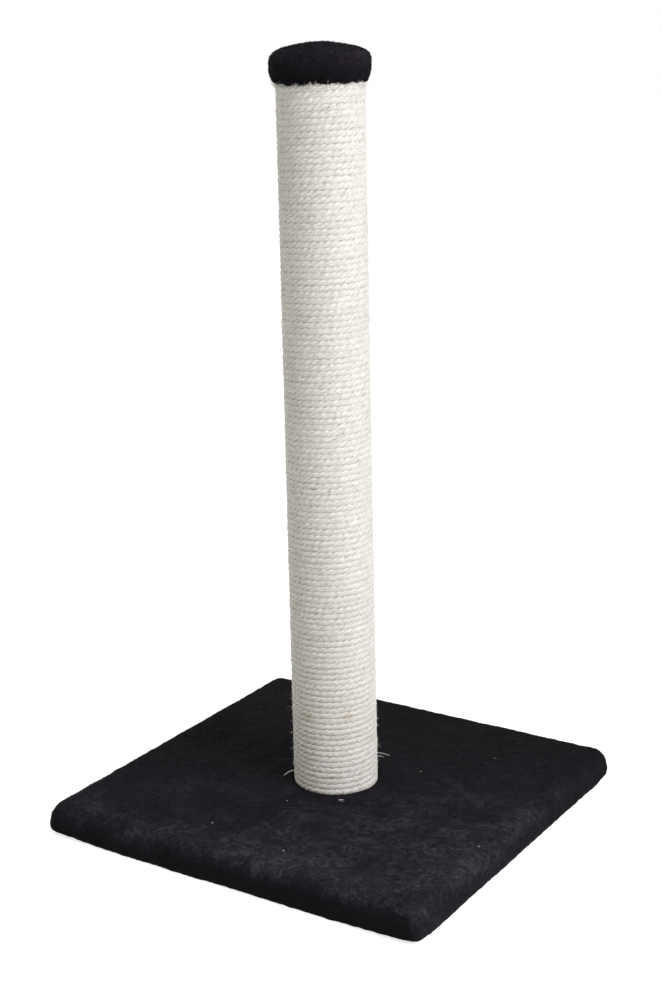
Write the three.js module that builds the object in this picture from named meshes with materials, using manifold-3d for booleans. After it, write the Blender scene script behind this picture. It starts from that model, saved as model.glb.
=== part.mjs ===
// Cat scratching post: a plush-covered chipboard base, an upright cardboard tube wound with sisal rope,
// and a plush-covered cap. One M8 bolt from below holds the post on the base, and one M8 stud holds the cap.
// Millimetres, +Z up. The origin is the middle of the base's underside, on the floor.
import * as THREE from "three";
import { mergeVertices } from "three/addons/utils/BufferGeometryUtils.js";
import Module from "manifold-3d";

// ---- driving sizes ----
const CLEARANCE = 0.3; // between pieces that touch

const BASE_LENGTH = 410; // along X, over the plush
const BASE_WIDTH = 390; // along Y, over the plush
const BOARD_THICKNESS = 22;
const BOARD_CORNER_RADIUS = 3.5; // seen from above
const BOARD_EDGE_CHAMFER = 1.5;
const PLUSH_THICKNESS = 6.5; // backing and pile, on the base's top and sides
const PLUSH_TOP_ROUNDING = 12; // of the base's upper edge
const PLUSH_FOOT_ROUNDING = 6; // of the base's lower edge
const HEM_THICKNESS = 3.5; // plush pressed flat under the board
const HEM_WIDTH = 34; // how far the plush is turned in under the base
const PRESSED_PLUSH = 2.5; // under the foot of the post
const SEAT_GAP = 1; // between the rope's foot and the pile round it

const POST_RADIUS = 40; // over the rope
const TUBE_OUTER_RADIUS = 35;
const TUBE_WALL = 5;
const PLUG_THICKNESS = 18;

const ROPE_DIAMETER = 5; // as wound, a little flattened between its neighbours
const ROPE_PITCH = 5.52; // height of one turn
const ROPE_TURNS = 120;
const FREE_TURNS = 2; // wound as a tube at each end, with one ribbed sleeve between them
const TUBE_STEPS = 24; // straight steps in one free turn
const TUBE_SIDES = 6;
const RIB_STEPS = 14; // straight steps in one turn of the sleeve
const RIB_DEPTH = 1.6; // from the crest of a turn to the valley between two
const ROPE_LIFT = 0.7; // of the first turn off the pressed plush

const CAP_DISC_RADIUS = 40;
const CAP_DISC_THICKNESS = 16;
const CAP_WADDING_RIM = 2; // height of the wadding's straight side
const CAP_WADDING_RISE = 9.5; // of its dome, above that side
const CAP_HEM_THICKNESS = 3;
const CAP_HEM_INNER_RADIUS = 27;
const CAP_HEIGHT = 37;
const CAP_RADIUS = 46.5;

const M8_RADIUS = 4;
const BOLT_LENGTH = 45; // under the head
const BOLT_HEAD_ACROSS_FLATS = 13;
const BOLT_HEAD_HEIGHT = 5.3;
const WASHER_RADIUS = 12;
const WASHER_THICKNESS = 1.6;
const WASHER_RECESS = 6; // depth of the counterbore in the board
const TEE_FLANGE_RADIUS = 11;
const TEE_FLANGE_THICKNESS = 1.5;
const TEE_BARREL_RADIUS = 5.2;
const TEE_BARREL_LENGTH = 11;
const TEE_PRONG = { count: 4, radius: 9.6, width: 3, thickness: 1.2, length: 6 };
const STUD_IN_CAP = 13;
const STUD_IN_POST = 26;
const STUD_POINT = 6; // length of its pointed end
const THREAD_CHAMFER = 1;

// How finely round things are cut.
const BIG_ROUND = 32;
const CAP_ROUND = 28;
const HOLE_ROUND = 16;

const BASE_STAPLE = { crown: 11, leg: 10, wire: 0.8, width: 1.2 };
const PLUG_STAPLE = { crown: 11, leg: 13, wire: 0.8, width: 1.2 };
const ROPE_STAPLE = { crown: 7, leg: 8, wire: 0.7, width: 1 };
const CAP_STAPLE = { crown: 9, leg: 8, wire: 0.8, width: 1.2 };
const BASE_STAPLES_PER_SIDE = 4;
const BASE_STAPLE_DEPTH = 1; // of its crown in the plush
const PLUG_STAPLES = 4;
const PLUG_STAPLE_DEPTH = 0.6;
const CAP_STAPLES = 6;
const CAP_STAPLE_DEPTH = 0.6;
const ROPE_STAPLE_DEPTH = 0.9;
const STAPLE_FROM_ROPE_END = 0.03; // of a turn

// ---- heights worked out from them ----
const BOARD_BOTTOM = HEM_THICKNESS;
const BOARD_TOP = BOARD_BOTTOM + BOARD_THICKNESS;
const BASE_TOP = BOARD_TOP + PLUSH_THICKNESS;
const POST_BOTTOM = BOARD_TOP + PRESSED_PLUSH;
const FIRST_TURN = POST_BOTTOM + ROPE_DIAMETER / 2 + ROPE_LIFT; // height of the rope's middle where it starts
const LAST_TURN = FIRST_TURN + ROPE_TURNS * ROPE_PITCH;
const POST_TOP = LAST_TURN + ROPE_DIAMETER / 2;
const CAP_BOTTOM = POST_TOP + CLEARANCE;
const CAP_DISC_BOTTOM = CAP_BOTTOM + CAP_HEM_THICKNESS;
const CAP_DISC_TOP = CAP_DISC_BOTTOM + CAP_DISC_THICKNESS;
const TUBE_INNER_RADIUS = TUBE_OUTER_RADIUS - TUBE_WALL;
const PLUG_RADIUS = TUBE_INNER_RADIUS - CLEARANCE;
const BOLT_HOLE_RADIUS = M8_RADIUS + CLEARANCE;
const ROPE_RADIUS = ROPE_DIAMETER / 2;
// A six-sided section has its flats towards the post's axis and its corners up and down.
const ROPE_CENTRE_RADIUS = POST_RADIUS - ROPE_RADIUS * Math.cos(Math.PI / TUBE_SIDES);

// ---- materials, coloured as in the photograph ----
const finish = (color, roughness, metalness = 0) =>
  new THREE.MeshStandardMaterial({ color, roughness, metalness });
const BLACK_PLUSH = finish(0x1b191c, 0.95);
const SISAL = finish(0xdcd8cd, 0.8);
const CHIPBOARD = finish(0xb08f62, 0.85);
const CARDBOARD = finish(0x9c7b55, 0.9);
const WADDING = finish(0xe6e4df, 0.95);
const ZINC = finish(0xaeb2b5, 0.35, 0.9);

// ---- solids ----
const wasm = await Module();
wasm.setup();

/** A closed three.js geometry as a solid that can be cut and joined. */
function solidOf(geometry) {
  const bare = geometry.clone();
  for (const name of Object.keys(bare.attributes)) if (name !== "position") bare.deleteAttribute(name);
  const merged = mergeVertices(bare, 1e-4);
  return new wasm.Manifold(
    new wasm.Mesh({
      numProp: 3,
      vertProperties: merged.attributes.position.array,
      triVerts: new Uint32Array(merged.index.array),
    }),
  );
}

/** A solid as a three.js geometry, with flat shading. */
function geometryOf(solid) {
  const mesh = solid.getMesh();
  const geometry = new THREE.BufferGeometry()
    .setAttribute("position", new THREE.BufferAttribute(new Float32Array(mesh.vertProperties), 3))
    .setIndex(new THREE.BufferAttribute(new Uint32Array(mesh.triVerts), 1))
    .toNonIndexed();
  geometry.computeVertexNormals();
  return geometry;
}

/** A geometry from a list of points and a list of triangles. */
function geometryFrom(points, triangles) {
  return new THREE.BufferGeometry()
    .setAttribute("position", new THREE.Float32BufferAttribute(points.flat(), 3))
    .setIndex(triangles.flat());
}

/** An upright cylinder between two heights. */
function cylinder(radius, bottom, top, segments = BIG_ROUND) {
  return new THREE.CylinderGeometry(radius, radius, top - bottom, segments)
    .rotateX(Math.PI / 2)
    .translate(0, 0, (bottom + top) / 2);
}

/** A shape turned round the Z axis. The profile is a list of [radius, height], outside going up. */
function turned(profile, segments = BIG_ROUND) {
  const points = profile.map(([radius, height]) => new THREE.Vector2(radius, height));
  return new THREE.LatheGeometry(points, segments).rotateX(Math.PI / 2);
}

/** Points of a quarter circle, as [across, up] offsets, from straight out to straight up. */
function quarterArc(radius, steps) {
  return Array.from({ length: steps + 1 }, (_, i) => {
    const angle = (i / steps) * (Math.PI / 2);
    return [radius * Math.cos(angle), radius * Math.sin(angle)];
  });
}

/**
 * A rectangular slab with rounded corners. The profile lists [inset, height] from the bottom up: each is one
 * outline of the slab, drawn in by that inset.
 */
function slab(length, width, cornerRadius, profile, cornerSteps = 4) {
  const corners = [
    [1, 1, 0],
    [-1, 1, 1],
    [-1, -1, 2],
    [1, -1, 3],
  ];
  const ring = 4 * (cornerSteps + 1);
  const points = [];
  for (const [inset, height] of profile) {
    const radius = Math.max(cornerRadius - inset, 0.5);
    const x = length / 2 - inset - radius;
    const y = width / 2 - inset - radius;
    for (const [signX, signY, quarter] of corners)
      for (let step = 0; step <= cornerSteps; step++) {
        const angle = (quarter + step / cornerSteps) * (Math.PI / 2);
        points.push([signX * x + radius * Math.cos(angle), signY * y + radius * Math.sin(angle), height]);
      }
  }
  const triangles = [];
  for (let level = 0; level + 1 < profile.length; level++)
    for (let i = 0; i < ring; i++) {
      const a = level * ring + i;
      const b = level * ring + ((i + 1) % ring);
      triangles.push([a, b, b + ring], [a, b + ring, a + ring]);
    }
  const bottomMiddle = points.push([0, 0, profile[0][1]]) - 1;
  const topMiddle = points.push([0, 0, profile.at(-1)[1]]) - 1;
  const topRing = (profile.length - 1) * ring;
  for (let i = 0; i < ring; i++) {
    const next = (i + 1) % ring;
    triangles.push([next, i, bottomMiddle], [topRing + i, topRing + next, topMiddle]);
  }
  return geometryFrom(points, triangles);
}

/**
 * A wire staple: its crown lies along X with its outer face at z = 0, and its legs point along +Z.
 * A grow above 0 gives the room that it needs in what it is driven into.
 */
function staple({ crown, leg, wire, width }, grow = 0) {
  const half = crown / 2 + grow;
  const thick = wire + grow * 2;
  const outline = new THREE.Shape();
  outline.moveTo(-half, -grow);
  outline.lineTo(half, -grow);
  outline.lineTo(half, leg + grow);
  outline.lineTo(half - thick, leg + grow);
  outline.lineTo(half - thick, wire + grow);
  outline.lineTo(-half + thick, wire + grow);
  outline.lineTo(-half + thick, leg + grow);
  outline.lineTo(-half, leg + grow);
  outline.closePath();
  const depth = width + grow * 2;
  return new THREE.ExtrudeGeometry(outline, { depth, bevelEnabled: false })
    .translate(0, 0, -depth / 2)
    .rotateX(Math.PI / 2);
}

/** A solid with the room for the given staples cut out. */
function cutForStaples(solid, staples) {
  return staples.reduce(
    (rest, { size, matrix }) => rest.subtract(solidOf(staple(size, CLEARANCE).applyMatrix4(matrix))),
    solid,
  );
}

const group = new THREE.Group();

/** Adds a named piece to the object. */
function add(name, shape, material) {
  const mesh = new THREE.Mesh(shape.isBufferGeometry ? shape : geometryOf(shape), material);
  mesh.name = name;
  group.add(mesh);
}

/** Adds each staple of a list as a piece of its own. */
function addStaples(staples) {
  for (const { name, size, matrix } of staples) add(name, staple(size).applyMatrix4(matrix), ZINC);
}

// ---- where the staples go ----

/** Staples under the base, in the middle of the hem, evenly along each side. */
function baseStaples() {
  const sides = [
    ["front", 0, BASE_LENGTH, BASE_WIDTH],
    ["right", 1, BASE_WIDTH, BASE_LENGTH],
    ["back", 2, BASE_LENGTH, BASE_WIDTH],
    ["left", 3, BASE_WIDTH, BASE_LENGTH],
  ];
  const fromEdge = PLUSH_THICKNESS + HEM_WIDTH * 0.6;
  const cornerRoom = 2 * (PLUSH_THICKNESS + HEM_WIDTH);
  return sides.flatMap(([side, quarter, along, across]) =>
    Array.from({ length: BASE_STAPLES_PER_SIDE }, (_, i) => {
      const x = ((i + 0.5) / BASE_STAPLES_PER_SIDE - 0.5) * (along - cornerRoom);
      return {
        name: `base_staple_${side}_${i + 1}`,
        size: BASE_STAPLE,
        matrix: new THREE.Matrix4()
          .makeRotationZ((quarter * Math.PI) / 2)
          .multiply(new THREE.Matrix4().makeTranslation(x, fromEdge - across / 2, BASE_STAPLE_DEPTH)),
      };
    }),
  );
}

/** A staple driven towards the post's axis, its crown level and its outer face at the given radius. */
function radialStaple(name, size, angle, radius, height) {
  const matrix = new THREE.Matrix4()
    .makeRotationZ(angle)
    .multiply(new THREE.Matrix4().makeTranslation(radius, 0, height))
    .multiply(new THREE.Matrix4().makeRotationY(-Math.PI / 2))
    .multiply(new THREE.Matrix4().makeRotationZ(Math.PI / 2));
  return { name, size, matrix };
}

/** Staples through the tube's wall into a plug, sunk flush in the cardboard. */
function plugStaples(which, height) {
  return Array.from({ length: PLUG_STAPLES }, (_, i) => {
    const angle = ((i + 0.5) / PLUG_STAPLES) * 2 * Math.PI;
    const crownRadius = TUBE_OUTER_RADIUS - PLUG_STAPLE_DEPTH;
    return radialStaple(`${which}_plug_staple_${i + 1}`, PLUG_STAPLE, angle, crownRadius, height);
  });
}

/** Staples under the cap's disc, round its gathered hem. */
function capStaples() {
  const radius = (CAP_HEM_INNER_RADIUS + CAP_DISC_RADIUS) / 2;
  return Array.from({ length: CAP_STAPLES }, (_, i) => ({
    name: `cap_staple_${i + 1}`,
    size: CAP_STAPLE,
    matrix: new THREE.Matrix4()
      .makeRotationZ((i / CAP_STAPLES) * 2 * Math.PI)
      .multiply(new THREE.Matrix4().makeTranslation(0, -radius, CAP_BOTTOM + CAP_STAPLE_DEPTH)),
  }));
}

/** Where the rope's middle is after a number of turns, as an angle and a height. It starts at the back. */
function ropeAt(turn) {
  return { angle: (turn + 0.25) * 2 * Math.PI, height: FIRST_TURN + turn * ROPE_PITCH };
}

/** A staple through the rope near one of its ends, sunk in its fibres. */
function ropeStaple(name, turn) {
  const { angle, height } = ropeAt(turn);
  return radialStaple(name, ROPE_STAPLE, angle, POST_RADIUS - ROPE_STAPLE_DEPTH, height);
}

const BASE_STAPLES = baseStaples();
const BOTTOM_PLUG_STAPLES = plugStaples("bottom", POST_BOTTOM + PLUG_THICKNESS * 0.4);
const TOP_PLUG_STAPLES = plugStaples("top", POST_TOP - PLUG_THICKNESS * 0.4);
const CAP_STAPLE_LIST = capStaples();
const ROPE_STAPLES = [
  ropeStaple("rope_end_staple_bottom", STAPLE_FROM_ROPE_END),
  ropeStaple("rope_end_staple_top", ROPE_TURNS - STAPLE_FROM_ROPE_END),
];

// ---- base ----

/** The chipboard slab, with the bolt's hole and the washer's recess from below. */
function baseBoard(grow = 0) {
  const bevel = BOARD_EDGE_CHAMFER;
  return solidOf(
    slab(
      BASE_LENGTH - 2 * PLUSH_THICKNESS + 2 * grow,
      BASE_WIDTH - 2 * PLUSH_THICKNESS + 2 * grow,
      BOARD_CORNER_RADIUS + grow,
      [
        [bevel, BOARD_BOTTOM - grow],
        [0, BOARD_BOTTOM + bevel - grow],
        [0, BOARD_TOP - bevel + grow],
        [bevel, BOARD_TOP + grow],
      ],
    ),
  );
}

/** Plush drawn over the board and turned in under it: rounded outside, open under the board's middle. */
function basePlush() {
  const foot = quarterArc(PLUSH_FOOT_ROUNDING, 3).map(([across, up]) => [
    PLUSH_FOOT_ROUNDING - across,
    PLUSH_FOOT_ROUNDING - up,
  ]);
  const shoulder = quarterArc(PLUSH_TOP_ROUNDING, 5).map(([across, up]) => [
    PLUSH_TOP_ROUNDING - across,
    BASE_TOP - PLUSH_TOP_ROUNDING + up,
  ]);
  const outerCorner = BOARD_CORNER_RADIUS + PLUSH_THICKNESS;
  const outside = solidOf(slab(BASE_LENGTH, BASE_WIDTH, outerCorner, [...foot.reverse(), ...shoulder]));
  const turnedIn = 2 * (PLUSH_THICKNESS + HEM_WIDTH);
  const window = slab(BASE_LENGTH - turnedIn, BASE_WIDTH - turnedIn, 4, [
    [0, -1],
    [0, BOARD_BOTTOM + 1],
  ]);
  const postSeat = cylinder(POST_RADIUS + SEAT_GAP, POST_BOTTOM - CLEARANCE, BASE_TOP + 1);
  const boltHole = cylinder(BOLT_HOLE_RADIUS, BOARD_TOP - 1, BASE_TOP, HOLE_ROUND);
  return outside
    .subtract(baseBoard(CLEARANCE))
    .subtract(solidOf(window))
    .subtract(solidOf(postSeat))
    .subtract(solidOf(boltHole));
}

add(
  "base_board",
  cutForStaples(
    baseBoard()
      .subtract(solidOf(cylinder(BOLT_HOLE_RADIUS, -1, BASE_TOP, HOLE_ROUND)))
      .subtract(solidOf(cylinder(WASHER_RADIUS + 1, -1, BOARD_BOTTOM + WASHER_RECESS))),
    BASE_STAPLES,
  ),
  CHIPBOARD,
);
add("base_plush_cover", cutForStaples(basePlush(), BASE_STAPLES), BLACK_PLUSH);
addStaples(BASE_STAPLES);

// ---- fastening from below ----
const WASHER_TOP = BOARD_BOTTOM + WASHER_RECESS - CLEARANCE;
const BOLT_SEAT = WASHER_TOP - WASHER_THICKNESS - CLEARANCE;

/** The big washer that spreads the bolt's pull over the chipboard. */
function washer() {
  const disc = cylinder(WASHER_RADIUS, WASHER_TOP - WASHER_THICKNESS, WASHER_TOP);
  return solidOf(disc).subtract(solidOf(cylinder(BOLT_HOLE_RADIUS, 0, WASHER_TOP + 1, HOLE_ROUND)));
}

/** A hexagon-head M8 bolt, head down, its tip chamfered. */
function bolt() {
  const headRadius = BOLT_HEAD_ACROSS_FLATS / 2 / Math.cos(Math.PI / 6);
  const head = cylinder(headRadius, BOLT_SEAT - BOLT_HEAD_HEIGHT, BOLT_SEAT, 6);
  const tip = BOLT_SEAT + BOLT_LENGTH;
  const shank = turned(
    [
      [0, BOLT_SEAT - 1],
      [M8_RADIUS, BOLT_SEAT - 1],
      [M8_RADIUS, tip - THREAD_CHAMFER],
      [M8_RADIUS - THREAD_CHAMFER, tip],
      [0, tip],
    ],
    HOLE_ROUND,
  );
  return solidOf(head).add(solidOf(shank));
}

add("base_washer", washer(), ZINC);
add("base_bolt", bolt(), ZINC);

// ---- post ----

/**
 * A pronged tee nut, its flange against the face of a plug at the given height and its barrel in the plug.
 * A direction of 1 drives it upwards, and -1 downwards. A grow above 0 gives the room it needs in the plug.
 */
function teeNut(face, direction, grow = 0) {
  const span = (from, to) => [face + direction * from, face + direction * to].sort((a, b) => a - b);
  const flangeSpan = span(-TEE_FLANGE_THICKNESS - CLEARANCE, -CLEARANCE);
  const flange = cylinder(TEE_FLANGE_RADIUS + grow, ...flangeSpan, HOLE_ROUND);
  const barrel = cylinder(TEE_BARREL_RADIUS + grow, ...span(-1, TEE_BARREL_LENGTH + grow), HOLE_ROUND);
  const [low, high] = span(-1, TEE_PRONG.length + grow);
  let nut = solidOf(flange).add(solidOf(barrel));
  for (let i = 0; i < TEE_PRONG.count; i++) {
    const prong = new THREE.BoxGeometry(
      TEE_PRONG.thickness + 2 * grow,
      TEE_PRONG.width + 2 * grow,
      high - low,
    )
      .translate(TEE_PRONG.radius, 0, (low + high) / 2)
      .rotateZ((i / TEE_PRONG.count) * 2 * Math.PI);
    nut = nut.add(solidOf(prong));
  }
  const boreSpan = span(-TEE_FLANGE_THICKNESS - 2, TEE_BARREL_LENGTH + 2);
  const bore = cylinder(BOLT_HOLE_RADIUS, ...boreSpan, HOLE_ROUND);
  return grow > 0 ? nut : nut.subtract(solidOf(bore));
}

/** A round chipboard plug for one end of the tube, with its tee nut's hole. */
function plug(bottom, nutFace, nutDirection, staples) {
  const disc = solidOf(cylinder(PLUG_RADIUS, bottom, bottom + PLUG_THICKNESS))
    .subtract(solidOf(cylinder(BOLT_HOLE_RADIUS, bottom - 1, bottom + PLUG_THICKNESS + 1, HOLE_ROUND)))
    .subtract(teeNut(nutFace, nutDirection, CLEARANCE));
  return cutForStaples(disc, staples);
}

/** The rope's core: a plain cardboard tube. */
function postTube() {
  const wall = turned([
    [TUBE_INNER_RADIUS, POST_BOTTOM],
    [TUBE_OUTER_RADIUS, POST_BOTTOM],
    [TUBE_OUTER_RADIUS, POST_TOP],
    [TUBE_INNER_RADIUS, POST_TOP],
    [TUBE_INNER_RADIUS, POST_BOTTOM],
  ]);
  return cutForStaples(solidOf(wall), [...BOTTOM_PLUG_STAPLES, ...TOP_PLUG_STAPLES, ...ROPE_STAPLES]);
}

const BOTTOM_NUT_FACE = POST_BOTTOM + PLUG_THICKNESS;
const TOP_NUT_FACE = POST_TOP - PLUG_THICKNESS;

add("post_tube", postTube(), CARDBOARD);
add(
  "bottom_plug",
  plug(POST_BOTTOM, BOTTOM_NUT_FACE, -1, [...BOTTOM_PLUG_STAPLES, ROPE_STAPLES[0]]),
  CHIPBOARD,
);
add("top_plug", plug(TOP_NUT_FACE, TOP_NUT_FACE, 1, [...TOP_PLUG_STAPLES, ROPE_STAPLES[1]]), CHIPBOARD);
add("bottom_tee_nut", teeNut(BOTTOM_NUT_FACE, -1), ZINC);
add("top_tee_nut", teeNut(TOP_NUT_FACE, 1), ZINC);
addStaples(BOTTOM_PLUG_STAPLES);
addStaples(TOP_PLUG_STAPLES);

// ---- rope ----

/** A point at an angle round the post's axis. */
const around = (radius, angle, height) => [radius * Math.cos(angle), radius * Math.sin(angle), height];

/** The points of one section of the free rope, seen along it, corners up and down. */
function ropeSection({ angle, height }, centreRadius = ROPE_CENTRE_RADIUS) {
  return Array.from({ length: TUBE_SIDES }, (_, side) => {
    const turn = ((side + 0.5) / TUBE_SIDES) * 2 * Math.PI;
    return around(centreRadius + ROPE_RADIUS * Math.cos(turn), angle, height + ROPE_RADIUS * Math.sin(turn));
  });
}

/**
 * Free turns of the rope as one unbroken tube. At a cut end it runs straight on for one rope diameter.
 * Returns its geometry and its sections.
 */
function freeTurns(from, to, cutEnd) {
  const steps = Math.round((to - from) * TUBE_STEPS);
  const sections = Array.from({ length: steps + 1 }, (_, i) => ropeSection(ropeAt(from + i / TUBE_STEPS)));
  const { angle, height } = ropeAt(cutEnd === "start" ? from : to);
  const onward = cutEnd === "start" ? -1 : 1;
  const bend = Math.atan2(ROPE_DIAMETER, ROPE_CENTRE_RADIUS) * onward;
  const straightRadius = Math.hypot(ROPE_CENTRE_RADIUS, ROPE_DIAMETER);
  const straight = ropeSection({ angle: angle + bend, height }, straightRadius);
  if (cutEnd === "start") sections.unshift(straight);
  else sections.push(straight);
  const triangles = [];
  for (let i = 0; i + 1 < sections.length; i++)
    for (let side = 0; side < TUBE_SIDES; side++) {
      const a = i * TUBE_SIDES + side;
      const b = i * TUBE_SIDES + ((side + 1) % TUBE_SIDES);
      triangles.push([a, b + TUBE_SIDES, b], [a, a + TUBE_SIDES, b + TUBE_SIDES]);
    }
  const last = (sections.length - 1) * TUBE_SIDES;
  for (let side = 1; side + 1 < TUBE_SIDES; side++)
    triangles.push([0, side, side + 1], [last, last + side + 1, last + side]);
  return { geometry: geometryFrom(sections.flat(), triangles), sections };
}

// The sleeve's bore has flat sides, and their middles have to clear the tube.
const BORE_RADIUS = (TUBE_OUTER_RADIUS + CLEARANCE) / Math.cos(Math.PI / RIB_STEPS);

/**
 * The turns that lie tight together, as one sleeve. Its crest and its valley each follow the rope's helix,
 * half a turn's height apart, and its two ends are steps where the free rope leaves it.
 */
function ribbedSleeve(from, to) {
  const steps = (to - from) * RIB_STEPS;
  const points = [];
  const at = (radius, step, lift) => {
    const { angle, height } = ropeAt(from + step / RIB_STEPS);
    return points.push(around(radius, angle, height + lift)) - 1;
  };
  const low = -ROPE_PITCH / 2;
  const valleyRadius = POST_RADIUS - RIB_DEPTH;
  const valley = Array.from({ length: steps + RIB_STEPS + 1 }, (_, i) => at(valleyRadius, i, low));
  const crest = Array.from({ length: steps + 1 }, (_, i) => at(POST_RADIUS, i, 0));
  const boreBottom = Array.from({ length: RIB_STEPS + 1 }, (_, i) => at(BORE_RADIUS, i, low));
  const boreTop = Array.from({ length: RIB_STEPS + 1 }, (_, i) => at(BORE_RADIUS, steps + i, low));
  const triangles = [];
  const quad = (a, b, c, d) => triangles.push([a, b, c], [a, c, d]);
  for (let i = 0; i < steps; i++) {
    quad(valley[i], valley[i + 1], crest[i + 1], crest[i]);
    quad(crest[i], crest[i + 1], valley[i + 1 + RIB_STEPS], valley[i + RIB_STEPS]);
  }
  for (let i = 0; i < RIB_STEPS; i++) {
    quad(boreBottom[i], boreBottom[i + 1], valley[i + 1], valley[i]);
    quad(valley[steps + i], valley[steps + i + 1], boreTop[i + 1], boreTop[i]);
  }
  const [firstBottom, lastBottom] = [boreBottom[0], boreBottom[RIB_STEPS]];
  const [firstTop, lastTop] = [boreTop[0], boreTop[RIB_STEPS]];
  for (let i = 1; i + 1 < RIB_STEPS; i++) quad(boreBottom[i + 1], boreBottom[i], boreTop[i], boreTop[i + 1]);
  // The bore's first and last strips meet along one upright line, where the two steps end part of the way.
  triangles.push(
    [boreBottom[1], firstBottom, lastBottom],
    [boreBottom[1], lastBottom, boreTop[1]],
    [boreTop[1], lastBottom, firstTop],
    [lastBottom, boreBottom[RIB_STEPS - 1], firstTop],
    [boreBottom[RIB_STEPS - 1], boreTop[RIB_STEPS - 1], firstTop],
    [boreTop[RIB_STEPS - 1], lastTop, firstTop],
  );
  // The two steps.
  triangles.push(
    [firstBottom, valley[0], crest[0]],
    [firstBottom, crest[0], lastBottom],
    [crest[0], valley[RIB_STEPS], lastBottom],
    [firstTop, crest[steps], valley[steps]],
    [firstTop, lastTop, crest[steps]],
    [crest[steps], lastTop, valley[steps + RIB_STEPS]],
  );
  return geometryFrom(points, triangles);
}

/** The least gap between one turn of a free rope and the next, measured on the corners of its sections. */
function leastGap(sections) {
  let least = Infinity;
  sections.forEach((section, i) =>
    sections.slice(i + TUBE_STEPS / 2).forEach((other) =>
      section.forEach((p) =>
        other.forEach((q) => {
          least = Math.min(least, Math.hypot(p[0] - q[0], p[1] - q[1], p[2] - q[2]));
        }),
      ),
    ),
  );
  return least;
}

const RUN_INTO_SLEEVE = 1 / TUBE_STEPS; // of a turn, so that tube and sleeve are one piece
const lowerEnd = freeTurns(0, FREE_TURNS + RUN_INTO_SLEEVE, "start");
const upperEnd = freeTurns(ROPE_TURNS - FREE_TURNS - RUN_INTO_SLEEVE, ROPE_TURNS, "end");
const ropeLength = ROPE_TURNS * Math.hypot(2 * Math.PI * ROPE_CENTRE_RADIUS, ROPE_PITCH);
const freeGap = Math.min(leastGap(lowerEnd.sections), leastGap(upperEnd.sections));
console.log(
  `rope: ${ROPE_TURNS} turns, ${(ropeLength / 1000).toFixed(1)} m, ` +
    `least gap between free turns ${freeGap.toFixed(2)} mm`,
);
const sleeve = solidOf(ribbedSleeve(FREE_TURNS, ROPE_TURNS - FREE_TURNS));
const rope = sleeve.add(solidOf(lowerEnd.geometry)).add(solidOf(upperEnd.geometry));
add("sisal_rope", cutForStaples(rope, ROPE_STAPLES), SISAL);
addStaples(ROPE_STAPLES);

// ---- cap ----

/** The cap's outside above its own bottom, from its gathered lower edge over the bulging side to the top. */
const CAP_PROFILE = [
  [CAP_DISC_RADIUS - 0.5, 0],
  [42, 1],
  [44.6, 3.6],
  [CAP_RADIUS - 0.4, 7.5],
  [CAP_RADIUS, 13],
  [CAP_RADIUS - 0.3, 20],
  [45.2, 25],
  [41.5, 28.8],
  [34, 31.8],
  [22, 34.6],
  [10, CAP_HEIGHT - 0.5],
  [0, CAP_HEIGHT],
];
const GATHERS = CAP_ROUND / 2; // small folds where the plush is drawn in under the disc
const GATHER_DEPTH = 0.9;
const GATHER_HEIGHT = 9; // above this the plush is smooth

/** Draws the lower edge of the cap's outside into small folds that fade out upwards. */
function gathered(geometry) {
  const points = geometry.attributes.position;
  for (let i = 0; i < points.count; i++) {
    const [x, y, above] = [points.getX(i), points.getY(i), points.getZ(i) - CAP_BOTTOM];
    const fade = Math.max(0, 1 - above / GATHER_HEIGHT);
    const radius = Math.hypot(x, y);
    if (radius < 1 || fade === 0) continue;
    const fold = 1 - (fade * GATHER_DEPTH * (1 - Math.cos(GATHERS * Math.atan2(y, x)))) / 2 / radius;
    points.setXY(i, x * fold, y * fold);
  }
  return geometry;
}

/** The dome of wadding that rounds the cap's top, with straight sides as far as its rim. */
function capWadding(grow = 0) {
  const bottom = CAP_DISC_TOP + CLEARANCE - grow;
  const radius = CAP_DISC_RADIUS - 1 + grow;
  const steps = 5;
  const dome = Array.from({ length: steps + 1 }, (_, i) => {
    const across = 1 - i / steps;
    const rise = (CAP_WADDING_RISE + grow) * Math.sqrt(1 - across ** 2.5);
    return [radius * across, CAP_DISC_TOP + CLEARANCE + CAP_WADDING_RIM + rise];
  });
  return solidOf(turned([[0, bottom], [radius, bottom], ...dome], CAP_ROUND));
}

/** The chipboard disc in the cap, with a blind hole for the stud. */
function capDisc() {
  const holeTop = CAP_DISC_BOTTOM + STUD_IN_CAP + CLEARANCE;
  const hole = cylinder(BOLT_HOLE_RADIUS, CAP_DISC_BOTTOM - 1, holeTop, HOLE_ROUND);
  const disc = cylinder(CAP_DISC_RADIUS, CAP_DISC_BOTTOM, CAP_DISC_TOP, CAP_ROUND);
  return cutForStaples(solidOf(disc).subtract(solidOf(hole)), CAP_STAPLE_LIST);
}

/** Plush drawn over the cap and gathered under its disc. */
function capPlush() {
  const profile = CAP_PROFILE.map(([radius, height]) => [radius, CAP_BOTTOM + height]);
  const outside = gathered(turned([[0, CAP_BOTTOM], ...profile], CAP_ROUND));
  const roomRadius = CAP_DISC_RADIUS + CLEARANCE;
  const room = cylinder(roomRadius, CAP_DISC_BOTTOM - CLEARANCE, CAP_DISC_TOP + CLEARANCE, CAP_ROUND);
  const window = cylinder(CAP_HEM_INNER_RADIUS, CAP_BOTTOM - 1, CAP_DISC_TOP, CAP_ROUND);
  const shell = solidOf(outside)
    .subtract(solidOf(room))
    .subtract(capWadding(CLEARANCE))
    .subtract(solidOf(window));
  return cutForStaples(shell, CAP_STAPLE_LIST);
}

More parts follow.
